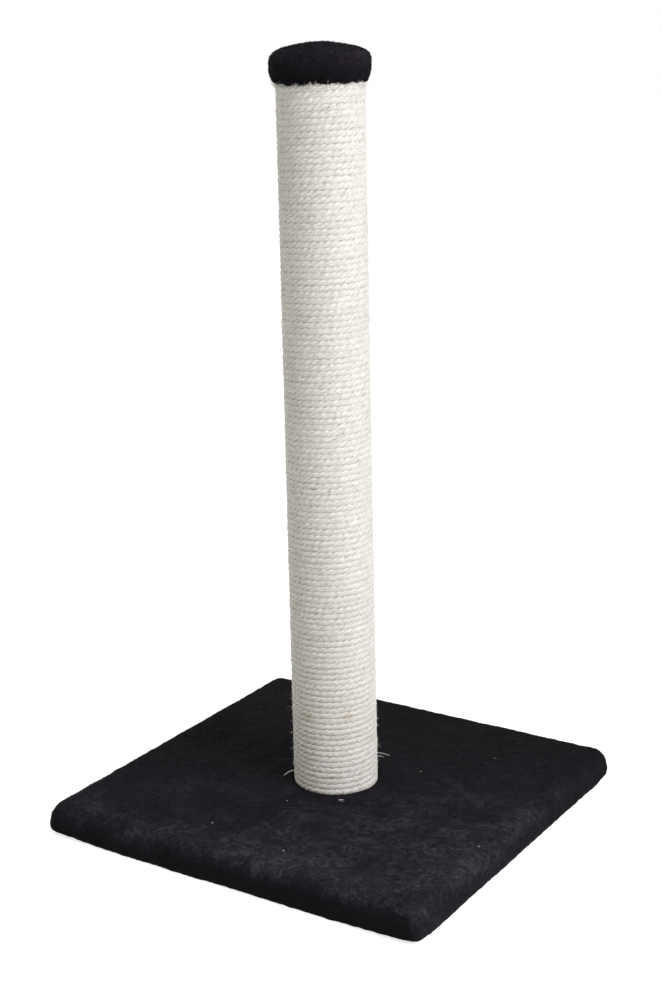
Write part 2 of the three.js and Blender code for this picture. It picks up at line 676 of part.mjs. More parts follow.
/** A hanger bolt: machine thread down into the post's tee nut, and a pointed wood thread up into the cap. */
function capStud() {
  const foot = CAP_DISC_BOTTOM - STUD_IN_POST;
  const tip = CAP_DISC_BOTTOM + STUD_IN_CAP;
  return turned(
    [
      [0, foot],
      [M8_RADIUS - THREAD_CHAMFER, foot],
      [M8_RADIUS, foot + THREAD_CHAMFER],
      [M8_RADIUS, tip - STUD_POINT],
      [0, tip],
    ],
    HOLE_ROUND,
  );
}

add("cap_disc", capDisc(), CHIPBOARD);
add("cap_wadding", capWadding(), WADDING);
add("cap_plush_cover", capPlush(), BLACK_PLUSH);
add("cap_stud", capStud(), ZINC);
addStaples(CAP_STAPLE_LIST);

export default group;
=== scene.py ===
"""Looks of a cat scratching post: a plush-covered base, a post wound with sisal rope and a plush cap.

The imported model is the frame. Metres, +Z up, the origin in the middle of the base's underside.
"""
import logging
import math
from dataclasses import dataclass, field
from enum import Enum
from functools import reduce
from typing import Any, Callable, Sequence

import bpy
import numpy as np
from mathutils import Matrix, Vector


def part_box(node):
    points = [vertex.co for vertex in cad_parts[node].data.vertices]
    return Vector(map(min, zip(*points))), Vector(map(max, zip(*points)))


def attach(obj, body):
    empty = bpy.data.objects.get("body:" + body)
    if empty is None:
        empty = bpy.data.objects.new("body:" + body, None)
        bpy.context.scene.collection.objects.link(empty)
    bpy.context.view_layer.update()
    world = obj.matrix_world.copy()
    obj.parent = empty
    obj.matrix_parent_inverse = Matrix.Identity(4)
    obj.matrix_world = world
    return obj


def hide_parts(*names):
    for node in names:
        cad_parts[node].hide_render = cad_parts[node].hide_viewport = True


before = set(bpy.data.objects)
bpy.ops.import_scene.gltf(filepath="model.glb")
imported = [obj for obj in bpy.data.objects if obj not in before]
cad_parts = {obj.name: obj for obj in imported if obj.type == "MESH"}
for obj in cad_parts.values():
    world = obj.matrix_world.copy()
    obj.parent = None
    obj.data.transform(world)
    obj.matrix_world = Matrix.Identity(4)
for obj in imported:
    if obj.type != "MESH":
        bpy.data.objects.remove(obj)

MM = 0.001
TURN = 2 * math.pi
UP = np.array([0.0, 0.0, 1.0])
BODY = "root"
LAY_MAP = "RopeLay"  # runs along and round the rope
BAKE_MAP = "OFBake"  # every face in its own place, from 0 to 1
CUBE_CORNERS = np.array([(i >> 2 & 1, i >> 1 & 1, i & 1) for i in range(8)])
LATTICE_FACTORS = np.array([73856093, 19349663, 83492791], np.uint64)  # for a lattice corner's three indices
SEED_FACTOR = 2654435761
LOW_BITS = np.uint64(0xFFFFFFFF)
MIXING = ((15, 2246822519), (13, 3266489917))  # each a shift and a factor
LAST_SHIFT = 16
Layers = tuple[tuple[float, float, int], ...]  # of noise: each one's spacing in millimetres, strength and seed

log = logging.getLogger("scratching_post")


class Slot(str, Enum):
    """Names of material slots."""

    PLUSH = "black_plush"
    SISAL = "sisal_rope"
    CHIPBOARD = "chipboard"
    CARDBOARD = "cardboard_tube"
    WADDING = "wadding"
    ZINC = "zinc_steel"


# ---- smooth noise and surfaces ----


def lattice_values(cells: np.ndarray, seed: int) -> np.ndarray:
    """A fixed number from -1 to 1 for each whole lattice corner.

    The corner's three indices are each multiplied by a large odd number and joined by exclusive or, and
    the result is mixed twice by a shift and a multiplication.

    Args:
        cells: Whole indices, with the last axis of length 3.
        seed: Chooses another set of numbers.

    Returns:
        One number per corner.
    """
    parts = cells.astype(np.int64).astype(np.uint64) * LATTICE_FACTORS
    mixed = (np.bitwise_xor.reduce(parts, axis=-1) ^ np.uint64(seed * SEED_FACTOR)) & LOW_BITS
    for shift, factor in MIXING:
        mixed = (mixed ^ (mixed >> np.uint64(shift))) * np.uint64(factor) & LOW_BITS
    return (mixed ^ (mixed >> np.uint64(LAST_SHIFT))).astype(float) / 2**31 - 1


def smooth_noise(points: np.ndarray, cell: float, seed: int) -> np.ndarray:
    """Smooth noise from -1 to 1: a cubic lattice's corner values, blended by 3t^2 - 2t^3 along each axis.

    Args:
        points: Places, with the last axis of length 3.
        cell: The lattice's spacing, in the points' unit.
        seed: Chooses another noise.

    Returns:
        One value per place.
    """
    scaled = points / cell
    lowest = np.floor(scaled)
    part = scaled - lowest
    part = part * part * (3 - 2 * part)
    total = np.zeros(points.shape[:-1])
    for corner in CUBE_CORNERS:
        weight = np.prod(np.where(corner, part, 1 - part), axis=-1)
        total += weight * lattice_values(lowest + corner, seed)
    return total


def line_noise(along: np.ndarray, cell: float, seed: int) -> np.ndarray:
    """Smooth noise from -1 to 1 along a line."""
    return smooth_noise(np.stack([along, np.full_like(along, 0.37 * cell), 0 * along], axis=-1), cell, seed)


def layered(at: np.ndarray, layers: Layers, noise: Callable[..., np.ndarray] = smooth_noise) -> np.ndarray:
    """Several noises added up.

    Args:
        at: Places, or distances along a line.
        layers: For each noise, its lattice's spacing in millimetres, its strength and its seed.
        noise: The noise for such places.

    Returns:
        One value per place.
    """
    return sum(noise(at, cell * MM, seed) * strength for cell, strength, seed in layers)


def unit(vectors: np.ndarray) -> np.ndarray:
    """The vectors at length 1."""
    return vectors / np.maximum(np.linalg.norm(vectors, axis=-1, keepdims=True), 1e-12)


def round_post(angle: np.ndarray) -> tuple[np.ndarray, np.ndarray]:
    """The directions outwards and onwards round the post at angles in radians."""
    return tuple(
        np.stack([x, y, 0 * angle], axis=-1)
        for x, y in ((np.cos(angle), np.sin(angle)), (-np.sin(angle), np.cos(angle)))
    )


def walked(*line: np.ndarray) -> np.ndarray:
    """The distance along a line of points to each of them, from their two coordinates."""
    return np.concatenate([[0], np.cumsum(np.hypot(*(np.diff(each) for each in line)))])


@dataclass
class Surface:
    """Points and faces of one piece, before they become a mesh.

    Fields:
        points: One row of three coordinates per point, in metres.
        faces: Arrays of point numbers, one row per face, each array with its own number of corners.
        bake: For each array of faces, the place of every corner on the bake's map.
        lay: The same for the map along the rope, or nothing.
        creases: Groups of point numbers. An edge between two points of one group is sharp.
    """

    points: np.ndarray
    faces: list[np.ndarray]
    bake: list[np.ndarray]
    lay: list[np.ndarray] = field(default_factory=list)
    creases: list[np.ndarray] = field(default_factory=list)

    def volume(self) -> float:
        """Six times the volume inside the faces, above 0 where they point outwards."""
        total = 0.0
        middle = self.points.mean(axis=0)
        for each in self.faces:
            corners = self.points[each] - middle
            for second in range(1, each.shape[1] - 1):
                facing = np.cross(corners[:, second], corners[:, second + 1])
                total += float((corners[:, 0] * facing).sum())
        return total

    def outward(self) -> "Surface":
        """This surface with its faces turned round if they point inwards."""
        if self.volume() < 0:
            for group in (self.faces, self.bake, self.lay):
                group[:] = [each[:, ::-1] for each in group]
        return self

    def normals(self) -> np.ndarray:
        """The mean direction of the faces at each point."""
        total = np.zeros_like(self.points)
        for each in self.faces:
            corners = self.points[each]
            facing = np.cross(corners[:, 2] - corners[:, 0], corners[:, -1] - corners[:, 1])
            for corner in range(each.shape[1]):
                for axis in range(3):
                    total[:, axis] += np.bincount(each[:, corner], facing[:, axis], len(self.points))
        return unit(total)


def joined(surfaces: Sequence[Surface]) -> Surface:
    """Several surfaces as one, their bake maps side by side in a square of equal cells."""
    across = math.ceil(math.sqrt(len(surfaces)))
    starts = np.cumsum([0] + [len(each.points) for each in surfaces[:-1]])
    faces, bake = [], []
    for i, (each, start) in enumerate(zip(surfaces, starts)):
        faces += [part + start for part in each.faces]
        bake += [(part * 0.96 + 0.02 + np.array([i % across, i // across])) / across for part in each.bake]
    return Surface(np.concatenate([each.points for each in surfaces]), faces, bake)


def grid_surface(
    points: np.ndarray,
    round_it: bool = False,
    ends: bool = False,
    lay: tuple[np.ndarray, np.ndarray] | None = None,
) -> Surface:
    """A surface from a grid of points, one quad between each four neighbours.

    Args:
        points: Rows by columns by 3.
        round_it: Whether the last column joins the first.
        ends: Whether a fan of triangles round a middle point closes the first and the last row.
        lay: Values along the rows, and along the columns with the first one's value again at the end.

    Returns:
        The surface.
    """
    rows, columns = points.shape[:2]
    wide = columns if round_it else columns - 1
    row, column = (each.reshape(-1, 1) for each in np.mgrid[0 : rows - 1, 0:wide])
    rows_at, columns_at = row + np.array([0, 0, 1, 1]), column + np.array([0, 1, 1, 0])
    quads = rows_at * columns + columns_at % columns
    quad_bake = np.stack([columns_at / wide, rows_at / (rows - 1)], axis=-1)
    made = Surface(points.reshape(-1, 3), [quads], [quad_bake])
    if lay is not None:
        made.lay = [np.stack([lay[0][rows_at], lay[1][columns_at]], axis=-1)]
    if ends:
        for at, order in ((0, -1), (rows - 1, 1)):
            ring = at * columns + np.arange(columns)
            middle = np.full(columns, len(made.points))
            made.points = np.vstack([made.points, points[at].mean(axis=0)])
            made.faces.append(np.stack([ring, np.roll(ring, -1), middle], axis=1)[:, ::order])
            made.bake.append(np.full((columns, 3, 2), at / (rows - 1)))
            made.creases.append(ring)
            if lay is not None:
                made.lay.append(np.tile([lay[0][at], 0.5], (columns, 3, 1)))
    return made


def make_piece(name: str, surface: Surface, material: bpy.types.Material) -> bpy.types.Object:
    """Puts a surface into a mesh, dresses it, and lets it ride on the post's one body.

    Args:
        name: The piece's name.
        surface: Its points and faces.
        material: Its finish.

    Returns:
        The new object, at the origin.
    """
    mesh = bpy.data.meshes.new(name)
    corners = np.concatenate([each.ravel() for each in surface.faces]).astype(np.int32)
    sizes = np.concatenate([np.full(len(each), each.shape[1]) for each in surface.faces])
    starts = np.concatenate([[0], np.cumsum(sizes)[:-1]]).astype(np.int32)
    mesh.vertices.add(len(surface.points))
    mesh.vertices.foreach_set("co", surface.points.astype(np.float32).ravel())
    mesh.loops.add(len(corners))
    mesh.loops.foreach_set("vertex_index", corners)
    mesh.polygons.add(len(starts))
    mesh.polygons.foreach_set("loop_start", starts)
    mesh.polygons.foreach_set("use_smooth", np.ones(len(starts), bool))
    for map_name, parts in ((BAKE_MAP, surface.bake), (LAY_MAP, surface.lay)):
        if parts:
            layer = mesh.uv_layers.new(name=map_name, do_init=False)
            places = np.concatenate([each.reshape(-1, 2) for each in parts])
            layer.data.foreach_set("uv", places.astype(np.float32).ravel())
    mesh.update(calc_edges=True)
    if surface.creases:
        group = np.full(len(surface.points), -1)
        for i, ring in enumerate(surface.creases):
            group[ring] = i
        ends = np.zeros(2 * len(mesh.edges), np.int32)
        mesh.edges.foreach_get("vertices", ends)
        first, second = group[ends[0::2]], group[ends[1::2]]
        mesh.edges.foreach_set("use_edge_sharp", (first == second) & (first >= 0))
    mesh.validate()
    mesh.materials.append(material)
    piece = bpy.data.objects.new(name, mesh)
    bpy.context.scene.collection.objects.link(piece)
    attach(piece, BODY)
    log.info("%s: %d points, %d triangles", name, len(surface.points), int((sizes - 2).sum()))
    return piece


# ---- finishes ----


class Value:
    """A number or a colour that varies over a surface: the output that carries it.

    Operators on it add Math nodes, so they are for numbers alone.
    """

    def __init__(self, recipe: "Recipe", socket: bpy.types.NodeSocket) -> None:
        """Holds the recipe that the socket belongs to, and the socket."""
        self.recipe, self.socket = recipe, socket

    def maths(self, operation: str, *others: Any) -> "Value":
        """A Math node with this value first."""
        return self.recipe.maths(operation, self, *others)

    def __add__(self, other: Any) -> "Value":
        """The sum."""
        return self.maths("ADD", other)

    __radd__ = __add__

    def __sub__(self, other: Any) -> "Value":
        """The difference."""
        return self.maths("SUBTRACT", other)

    def __rsub__(self, other: Any) -> "Value":
        """The difference from another value."""
        return self.recipe.maths("SUBTRACT", other, self)

    def __mul__(self, other: Any) -> "Value":
        """The product."""
        return self.maths("MULTIPLY", other)

    __rmul__ = __mul__

    def between(self, low: float, high: float) -> "Value":
        """0 below low, 1 above high, and a smooth rise between them."""
        return self.recipe.node(
            "ShaderNodeMapRange",
            {"interpolation_type": "SMOOTHSTEP"},
            {"Value": self, "From Min": low, "From Max": high},
        )


class Recipe:
    """One material's nodes. Every one of them comes from the method node."""

    def __init__(self, name: str, world: bool = False) -> None:
        """Starts a material, or a world, with none of its usual nodes."""
        self.owner = bpy.data.worlds.new(name) if world else bpy.data.materials.new(name)
        self.owner.use_nodes = True
        self.tree = self.owner.node_tree
        self.tree.nodes.clear()

    @property
    def place(self) -> Value:
        """The Object coordinates, in metres."""
        return self.node("ShaderNodeTexCoord", {}, {}, "Object")

    def node(self, kind: str, settings: dict[str, Any], inputs: dict[Any, Any], output: Any = 0) -> Value:
        """Adds a node.

        Args:
            kind: The node's type.
            settings: Its own properties, set first. "stops" are a colour ramp's places and colours.
            inputs: A number, a colour or a Value for each of its sockets, by name or number.
            output: Which of its outputs to return.

        Returns:
            That output.
        """
        made = self.tree.nodes.new(kind)
        for key, setting in settings.items():
            if key != "stops":
                setattr(made, key, setting)
                continue
            elements = made.color_ramp.elements
            while len(elements) < len(setting):
                elements.new(0.5)
            for element, (position, colour) in zip(elements, setting):
                element.position, element.color = position, (*colour, 1)
        for key, given in inputs.items():
            if isinstance(given, Value):
                self.tree.links.new(given.socket, made.inputs[key])
            else:
                made.inputs[key].default_value = given
        return Value(self, made.outputs[output] if made.outputs else None)

    def maths(self, operation: str, *values: Any) -> Value:
        """A Math node on numbers and Values."""
        return self.node("ShaderNodeMath", {"operation": operation}, dict(enumerate(values)))

    def parts(self, at: Value) -> list[Value]:
        """A place's three coordinates."""
        split = self.node("ShaderNodeSeparateXYZ", {}, {"Vector": at}).socket.node
        return [Value(self, output) for output in split.outputs]

    def moved(self, scale: Sequence[float], turn: Sequence[float] = (0, 0, 0)) -> Value:
        """The Object coordinates turned by so many radians about each axis, then stretched."""
        turned = self.node("ShaderNodeMapping", {}, {"Vector": self.place, "Rotation": turn})
        return self.node("ShaderNodeVectorMath", {"operation": "MULTIPLY"}, {0: turned, 1: scale})

    def noise(self, at: Value, scale: float, detail: float = 2, rough: float = 0.5, bend: float = 0) -> Value:
        """Noise from 0 to 1, with so many features to the metre."""
        inputs = {"Vector": at, "Scale": scale, "Detail": detail, "Roughness": rough, "Distortion": bend}
        return self.node("ShaderNodeTexNoise", {}, inputs)

    def mixed(self, share: Any, first: Any, second: Any) -> Value:
        """The second colour in that share over the first."""
        colours = [(*each, 1) if isinstance(each, tuple) else each for each in (first, second)]
        settings = {"data_type": "RGBA", "clamp_factor": True}
        return self.node("ShaderNodeMix", settings, {0: share, 6: colours[0], 7: colours[1]}, 2)

    def bump(self, height: Value, depth: float) -> Value:
        """A normal from a height of 0 to 1, whose full depth is given in metres."""
        return self.node("ShaderNodeBump", {}, {"Height": height, "Strength": 1.0, "Distance": depth})

    def finished(self, shader: dict[str, Any]) -> bpy.types.Material:
        """Ends the material in a Principled shader with these sockets, and returns it."""
        surface = self.node("ShaderNodeBsdfPrincipled", {}, shader)
        self.node("ShaderNodeOutputMaterial", {}, {"Surface": surface})
        return self.owner


def tone(level: float) -> float:
    """The linear value of a screen level from 0 to 255."""
    share = level / 255
    return share / 12.92 if share <= 0.04045 else ((share + 0.055) / 1.055) ** 2.4


def colour(red: float, green: float, blue: float) -> tuple[float, float, float]:
    """A linear colour from three screen levels from 0 to 255."""
    return tone(red), tone(green), tone(blue)


@dataclass(frozen=True)
class PlushFinish:
    """Black plush: brushed patches where the pile leans another way, and fine streaks along it. Painted light
    makes it paler towards the front right corner, with a painted highlight band and glints along its rim, and
    painted shade darkens its sides.

    Fields:
        dark, light: Its plain colour, and the paler colour of its brushed patches and of its painted light.
        patch: Brushed patches to the metre.
        streak, speck: Streaks of pile to the metre, across them, and specks of the painted glints.
        sheen: How much light its fibres' sides throw back.
        painted_light_from, painted_light_to: Where painted light begins to pale it, and is full, from the back
            left corner towards the front right one, in metres from the middle.
        half: Half the length and width of what it covers, whose rim gets the most painted highlight.
        patchy: How strong the brushed patches are.
        painted_shade_heights: Two heights. Below the first its sides are darkened fully by painted shade,
            above the other not at all.
        unrest: How far those heights of painted shade stray from place to place.
        painted_shade_rise: By how much the painted shade's edge rises from the left to the right on the long
            sides, for each metre.
        glint_colour, painted_glints: Colour and strength of the pale specks of painted glint on the rim near
            the lit front right corner.
    """

    name: str = "black_plush_pile"
    dark: tuple[float, float, float] = colour(17, 14, 18)
    light: tuple[float, float, float] = colour(62, 58, 68)
    patch: float = 15.0
    streak: float = 420.0
    speck: float = 800.0
    sheen: float = 0.02
    painted_light_from: float = -0.09
    painted_light_to: float = 0.2
    half: tuple[float, float] = (0.205, 0.195)
    patchy: float = 0.7
    painted_shade_heights: tuple[float, float] = (14 * MM, 32 * MM)
    unrest: float = 14 * MM
    painted_shade_rise: float = 0.02
    glint_colour: tuple[float, float, float] = colour(122, 118, 130)
    painted_glints: float = 0.24

    def material(self) -> bpy.types.Material:
        """The material, on Object coordinates."""
        recipe = Recipe(self.name)
        x, y, z = recipe.parts(recipe.place)
        patches = recipe.noise(recipe.place, self.patch, 3, 0.6, 1.2)
        swirls = recipe.noise(recipe.place, self.patch * 5, 3, 0.6, 2.0)
        streaks = recipe.noise(recipe.moved((1, 0.35, 0.7), (0, 0, 0.5)), self.streak, 3, 0.65, 0.6)
        specks = recipe.noise(recipe.place, self.speck, 1, 0.6)
        # painted light: paler towards the front right corner, the side towards the lamp and the camera
        painted_light = (x * 0.5 - y * 0.87).between(self.painted_light_from, self.painted_light_to)
        inwards = [each.maths("ABSOLUTE") - half for each, half in zip((x, y), self.half)]
        # the rim: a band along the top edges that takes a painted highlight
        rim = recipe.maths("MAXIMUM", *inwards).between(-50 * MM, -16 * MM)
        # painted shade: darker on the sides below a wandering height, less so at the short ends
        ends = inwards[0].between(-10 * MM, -2 * MM)
        strays = (patches - 0.5) * self.unrest - x * (1 - ends) * self.painted_shade_rise
        down = 1 - (z + strays).between(*self.painted_shade_heights)
        # the brushed patches and the streaks are the pile's own tone, but they show mostly where light and the
        # rim's highlight are painted
        brushed = patches.between(0.42, 0.66) * swirls.between(0.35, 0.68) * self.patchy * painted_light
        combed = streaks.between(0.32, 0.78) * (painted_light * 0.12 + rim * painted_light * 0.2 + 0.04)
        share = (brushed + combed + painted_light * 0.14 + 0.015) * (1 - down * (0.92 - ends * 0.3))
        # painted glints: pale specks on the rim near the lit front corner
        painted_glints = specks.between(0.55, 0.66) * swirls.between(0.5, 0.62) * rim * painted_light * painted_light * (1 - down)
        body = recipe.mixed(share, self.dark, self.light)
        shader = {
            "Base Color": recipe.mixed(painted_glints * self.painted_glints, body, self.glint_colour),
            "Roughness": 0.86,
            "Specular IOR Level": 0.06,
            "Sheen Weight": self.sheen,
            "Sheen Roughness": 0.35,
            "Sheen Tint": (0.82, 0.78, 0.95, 1),
            "Normal": recipe.bump(streaks, 0.2 * MM),
        }
        return recipe.finished(shader)


@dataclass(frozen=True)
class SisalFinish:
    """Off-white sisal: fibres along each strand, paler and darker yarns, a few brown flecks and stains.

    Fields:
        pale, dull, fleck, stain: Colours of clean and weathered fibre, of bits of bark and of stains.
        stains: The middles of the larger stains, in millimetres.
        stain_reach: How far from its middle a stain begins to fade, and is gone.
        slant: How far the fibres lie back against the twist, in turns round the rope to the metre.
    """

    name: str = "sisal_strands"
    pale: tuple[float, float, float] = colour(236, 234, 229)
    dull: tuple[float, float, float] = colour(205, 201, 192)
    fleck: tuple[float, float, float] = colour(122, 112, 92)
    stain: tuple[float, float, float] = colour(196, 186, 162)
    stains: tuple[tuple[float, float, float], ...] = (
        (-3, -41, 108), (32, -25, 109), (-20, -34, 640), (30, 28, 420),
    )
    stain_reach: tuple[float, float] = (2 * MM, 7 * MM)
    slant: float = 30.0

    def strands(self, recipe: Recipe, along: float, round_it: float, *kind: float) -> Value:
        """Noise on the rope's own map, so stretched and slanted back against the twist, as fibres lie.

        Args:
            recipe: Of the material.
            along: Features to the metre along the rope.
            round_it: Features in one turn round it.
            kind: The noise's detail, roughness and distortion.

        Returns:
            The noise.
        """
        far, turned, _ = recipe.parts(recipe.node("ShaderNodeUVMap", {"uv_map": LAY_MAP}, {}))
        across = (turned + far * self.slant) * round_it
        at = recipe.node("ShaderNodeCombineXYZ", {}, {"X": far * along, "Y": across})
        return recipe.noise(at, 1.0, *kind)

    def material(self) -> bpy.types.Material:
        """The material, on the rope's own map."""
        recipe = Recipe(self.name)
        fibres = self.strands(recipe, 190, 52, 3, 0.7, 0.3)
        tufts = self.strands(recipe, 230, 11, 3, 0.65, 0.5)
        yarns = self.strands(recipe, 40, 6, 2)
        marks = self.strands(recipe, 130, 10, 1)
        lengths = recipe.noise(recipe.place, 26, 3, 0.6)
        share = fibres.between(0.35, 0.75) * 0.25 + yarns.between(0.3, 0.7) * 0.2
        share = share + lengths.between(0.35, 0.7) * 0.15 + tufts.between(0.42, 0.58) * 0.55
        marked = recipe.mixed(
            marks.between(0.74, 0.78) * 0.75, recipe.mixed(share, self.pale, self.dull), self.fleck
        )
        stained = recipe.noise(recipe.place, 32, 2).between(0.74, 0.82)
        for middle in self.stains:
            inputs = {0: recipe.place, 1: tuple(each * MM for each in middle)}
            away = recipe.node("ShaderNodeVectorMath", {"operation": "DISTANCE"}, inputs, "Value")
            stained = recipe.maths("MAXIMUM", stained, 1 - away.between(*self.stain_reach))
        silk = self.strands(recipe, 430, 24, 2, 0.6).between(0.6, 0.68) * (1 - stained)
        shader = {
            "Base Color": recipe.mixed(stained * 0.6, marked, self.stain),
            "Metallic": silk * 0.7,
            "Roughness": 0.45 - silk * 0.2,
            "Specular IOR Level": 0.5,
            "Sheen Weight": 0.06,
            "Normal": recipe.bump(tufts * 0.65 + fibres * 0.35, 1.2 * MM),
        }
        return recipe.finished(shader)


@dataclass(frozen=True)
class FibreFinish:
    """Loose sisal fibres, near white: paler than the rope, partly their own tone and partly painted highlight,
    so that they show as bright glints even in shade.
    """

    name: str = "sisal_fibres"
    # near white: partly painted highlight
    pale: tuple[float, float, float] = colour(250, 249, 245)
    dull: tuple[float, float, float] = colour(214, 209, 196)

    def material(self) -> bpy.types.Material:
        """The material, on Object coordinates."""
        recipe = Recipe(self.name)
        share = recipe.noise(recipe.place, 90, 2).between(0.4, 0.7)
        shader = {
            "Base Color": recipe.mixed(share, self.pale, self.dull),
            "Roughness": recipe.noise(recipe.place, 700, 1) * 0.3 + 0.35,
            "Specular IOR Level": 0.4,
        }
        return recipe.finished(shader)


@dataclass(frozen=True)
class ChipboardFinish:
    """Raw chipboard: flat chips of several browns with darker glue lines."""

    name: str = "raw_chipboard"
    chips: float = 260.0

    def material(self) -> bpy.types.Material:
        """The material, on Object coordinates."""
        recipe = Recipe(self.name)
        bent = recipe.noise(recipe.place, 90, 2)
        cells = recipe.node(
            "ShaderNodeTexVoronoi", {"feature": "F1"}, {"Vector": recipe.place, "Scale": self.chips}, "Color"
        )
        chip = recipe.node("ShaderNodeSeparateColor", {}, {"Color": cells})
        stops = [
            (0.0, colour(120, 88, 55)),
            (0.35, colour(165, 128, 84)),
            (0.7, colour(190, 156, 110)),
            (1.0, colour(212, 184, 142)),
        ]
        brown = recipe.node("ShaderNodeValToRGB", {"stops": stops}, {"Fac": chip * 0.8 + bent * 0.2})
        grain = recipe.noise(recipe.moved((1, 3, 8)), 500, 2)
        shader = {
            "Base Color": recipe.mixed(grain.between(0.5, 0.8) * 0.4, brown, colour(105, 78, 50)),
            "Roughness": 0.85,
            "Specular IOR Level": 0.25,
            "Normal": recipe.bump(chip * 0.6 + grain * 0.4, 0.0003),
        }
        return recipe.finished(shader)


@dataclass(frozen=True)
class CardboardFinish:
    """Grey-brown wound cardboard, with the slanting joints of its plies and short pale fibres."""

    name: str = "wound_cardboard"

    def material(self) -> bpy.types.Material:
        """The material, on Object coordinates."""
        recipe = Recipe(self.name)
        fibres = recipe.noise(recipe.moved((1, 1, 4)), 350, 4, 0.7)
        clouds = recipe.noise(recipe.place, 30, 3)
        brown = recipe.mixed(fibres * 0.6 + clouds * 0.4, colour(132, 104, 74), colour(182, 152, 114))
        shader = {
            "Base Color": brown,
            "Roughness": 0.9,
            "Specular IOR Level": 0.2,
            "Normal": recipe.bump(fibres, 0.0002),
        }
        return recipe.finished(shader)


@dataclass(frozen=True)
class WaddingFinish:
    """White polyester wadding, all fine crossing fibres."""

    name: str = "white_wadding"

    def material(self) -> bpy.types.Material:
        """The material, on Object coordinates."""
        recipe = Recipe(self.name)
        tufts = recipe.noise(recipe.place, 240, 5, 0.75, 1.5)
        shader = {
            "Base Color": recipe.mixed(tufts, colour(206, 205, 201), colour(236, 235, 231)),
            "Roughness": 0.95,
            "Specular IOR Level": 0.1,
            "Normal": recipe.bump(tufts, 0.001),
        }
        return recipe.finished(shader)


@dataclass(frozen=True)
class ZincFinish:
    """Bright zinc on steel, with faint blue-grey clouds and fine scratches."""

    name: str = "zinc_plate"

    def material(self) -> bpy.types.Material:
        """The material, on Object coordinates."""
        recipe = Recipe(self.name)
        clouds = recipe.noise(recipe.place, 300, 3)
        scratches = recipe.noise(recipe.moved((1, 9, 1), (0, 0, 0.7)), 900, 2)
        shader = {
            "Base Color": recipe.mixed(clouds, colour(178, 182, 188), colour(206, 208, 208)),
            "Metallic": 1.0,
            "Roughness": clouds * 0.2 + scratches * 0.15 + 0.2,
            "Normal": recipe.bump(scratches, 0.00004),
        }
        return recipe.finished(shader)


# ---- pile and loose fibres ----


def own_cells(count: int, shape: np.ndarray) -> np.ndarray:
    """Places on the bake's map for many small like pieces: each has its own cell of a square of cells.

    Args:
        count: How many pieces.
        shape: The corners of one piece's faces in a cell from 0 to 1, with the last axis of length 2.

    Returns:
        An array of count by the shape.
    """
    across = math.ceil(math.sqrt(count))
    number = np.arange(count)
    corner = np.stack([number % across, number // across], axis=-1).astype(float)
    return (corner.reshape(count, *([1] * (shape.ndim - 1)), 2) + shape * 0.9 + 0.05) / across


@dataclass
class Pile:
    """Tufts of plush pile that stand on a surface and lean the way it was last brushed.

    Fields:
        count: Tufts.
        length, width, thickness: Of a tuft, in metres.
        lift: How far they stand up, as a share of their lean.
        swirl: Spacing of the places that were brushed another way.
        swirls: For those places and for smaller ones among them, their spacing as a share of swirl, and how
            far they turn the pile, in radians.
        heading: Which way the rest lies, in radians from +X towards -Y.
        unrest: How far a tuft strays from its neighbours.
        fall: How far the pile is brushed downwards.
        upright: How much shorter it lies where the surface is upright, as a share.
        seed: Chooses the tufts.
    """

    count: int
    length: float = 2.3 * MM
    width: float = 0.52 * MM
    thickness: float = 0.2 * MM
    lift: float = 0.18
    swirl: float = 55 * MM
    swirls: tuple[tuple[float, float], ...] = ((1, 2.6), (1 / 3, 0.9))
    heading: float = 1.2
    unrest: float = 0.24
    fall: float = 0.5
    upright: float = 0.45
    seed: int = 1

    def grown_on(self, ground: Surface, shown: np.ndarray) -> Surface:
        """Pyramids of three sides and a base, rooted at random over the shown faces in step with their area.

        A tuft's lean is a smooth field of directions, turned by noise and laid along the surface, plus the
        lift along its normal and a random part.

        Args:
            ground: The surface. Its first faces are quads.
            shown: Which of those quads bear pile.

        Returns:
            The pile.
        """
        random = np.random.default_rng(self.seed)
        corners = ground.points[ground.faces[0][shown]]
        facing = np.cross(corners[:, 2] - corners[:, 0], corners[:, 3] - corners[:, 1])
        area = np.linalg.norm(facing, axis=1)
        chosen = random.choice(len(corners), self.count, p=area / area.sum())
        across, down = random.random((2, self.count, 1))
        corner, normal = corners[chosen], unit(facing)[chosen]
        top = corner[:, 0] * (1 - across) + corner[:, 1] * across
        foot = corner[:, 3] * (1 - across) + corner[:, 2] * across
        root = top * (1 - down) + foot * down
        turn = -self.heading
        for i, (share, angle) in enumerate(self.swirls):
            turn = turn + smooth_noise(root, self.swirl * share, self.seed + 5 + i) * angle
        lean = round_post(turn)[0] - UP * self.fall
        lean -= normal * (lean * normal).sum(axis=1, keepdims=True)
        lean = unit(lean) + random.normal(0, self.unrest, (self.count, 3))
        half = unit(np.cross(normal, lean)) * self.width / 2
        size = (0.65 + 0.7 * random.random((self.count, 1))) * (1 - self.upright * (1 - abs(normal[:, 2:])))
        tip = root + unit(unit(lean) + normal * self.lift) * self.length * size
        root = root - normal * self.thickness
        ring = [root - half, root + half, root + normal * self.thickness * 1.5, tip]
        points = np.stack(ring, axis=1).reshape(-1, 3)
        sides = np.array([[0, 1, 3], [1, 2, 3], [2, 0, 3], [0, 2, 1]])
        faces = (np.arange(self.count)[:, None, None] * 4 + sides).reshape(-1, 3)
        low, right, high, middle = (0.0, 0.0), (0.7, 0.0), (0.35, 0.65), (0.35, 0.22)
        beside = [(0.75, 0.75), (1.0, 1.0), (1.0, 0.75)]
        shape = np.array([[low, right, middle], [right, high, middle], [high, low, middle], beside])
        return Surface(points, [faces], [own_cells(self.count, shape).reshape(-1, 3, 2)]).outward()


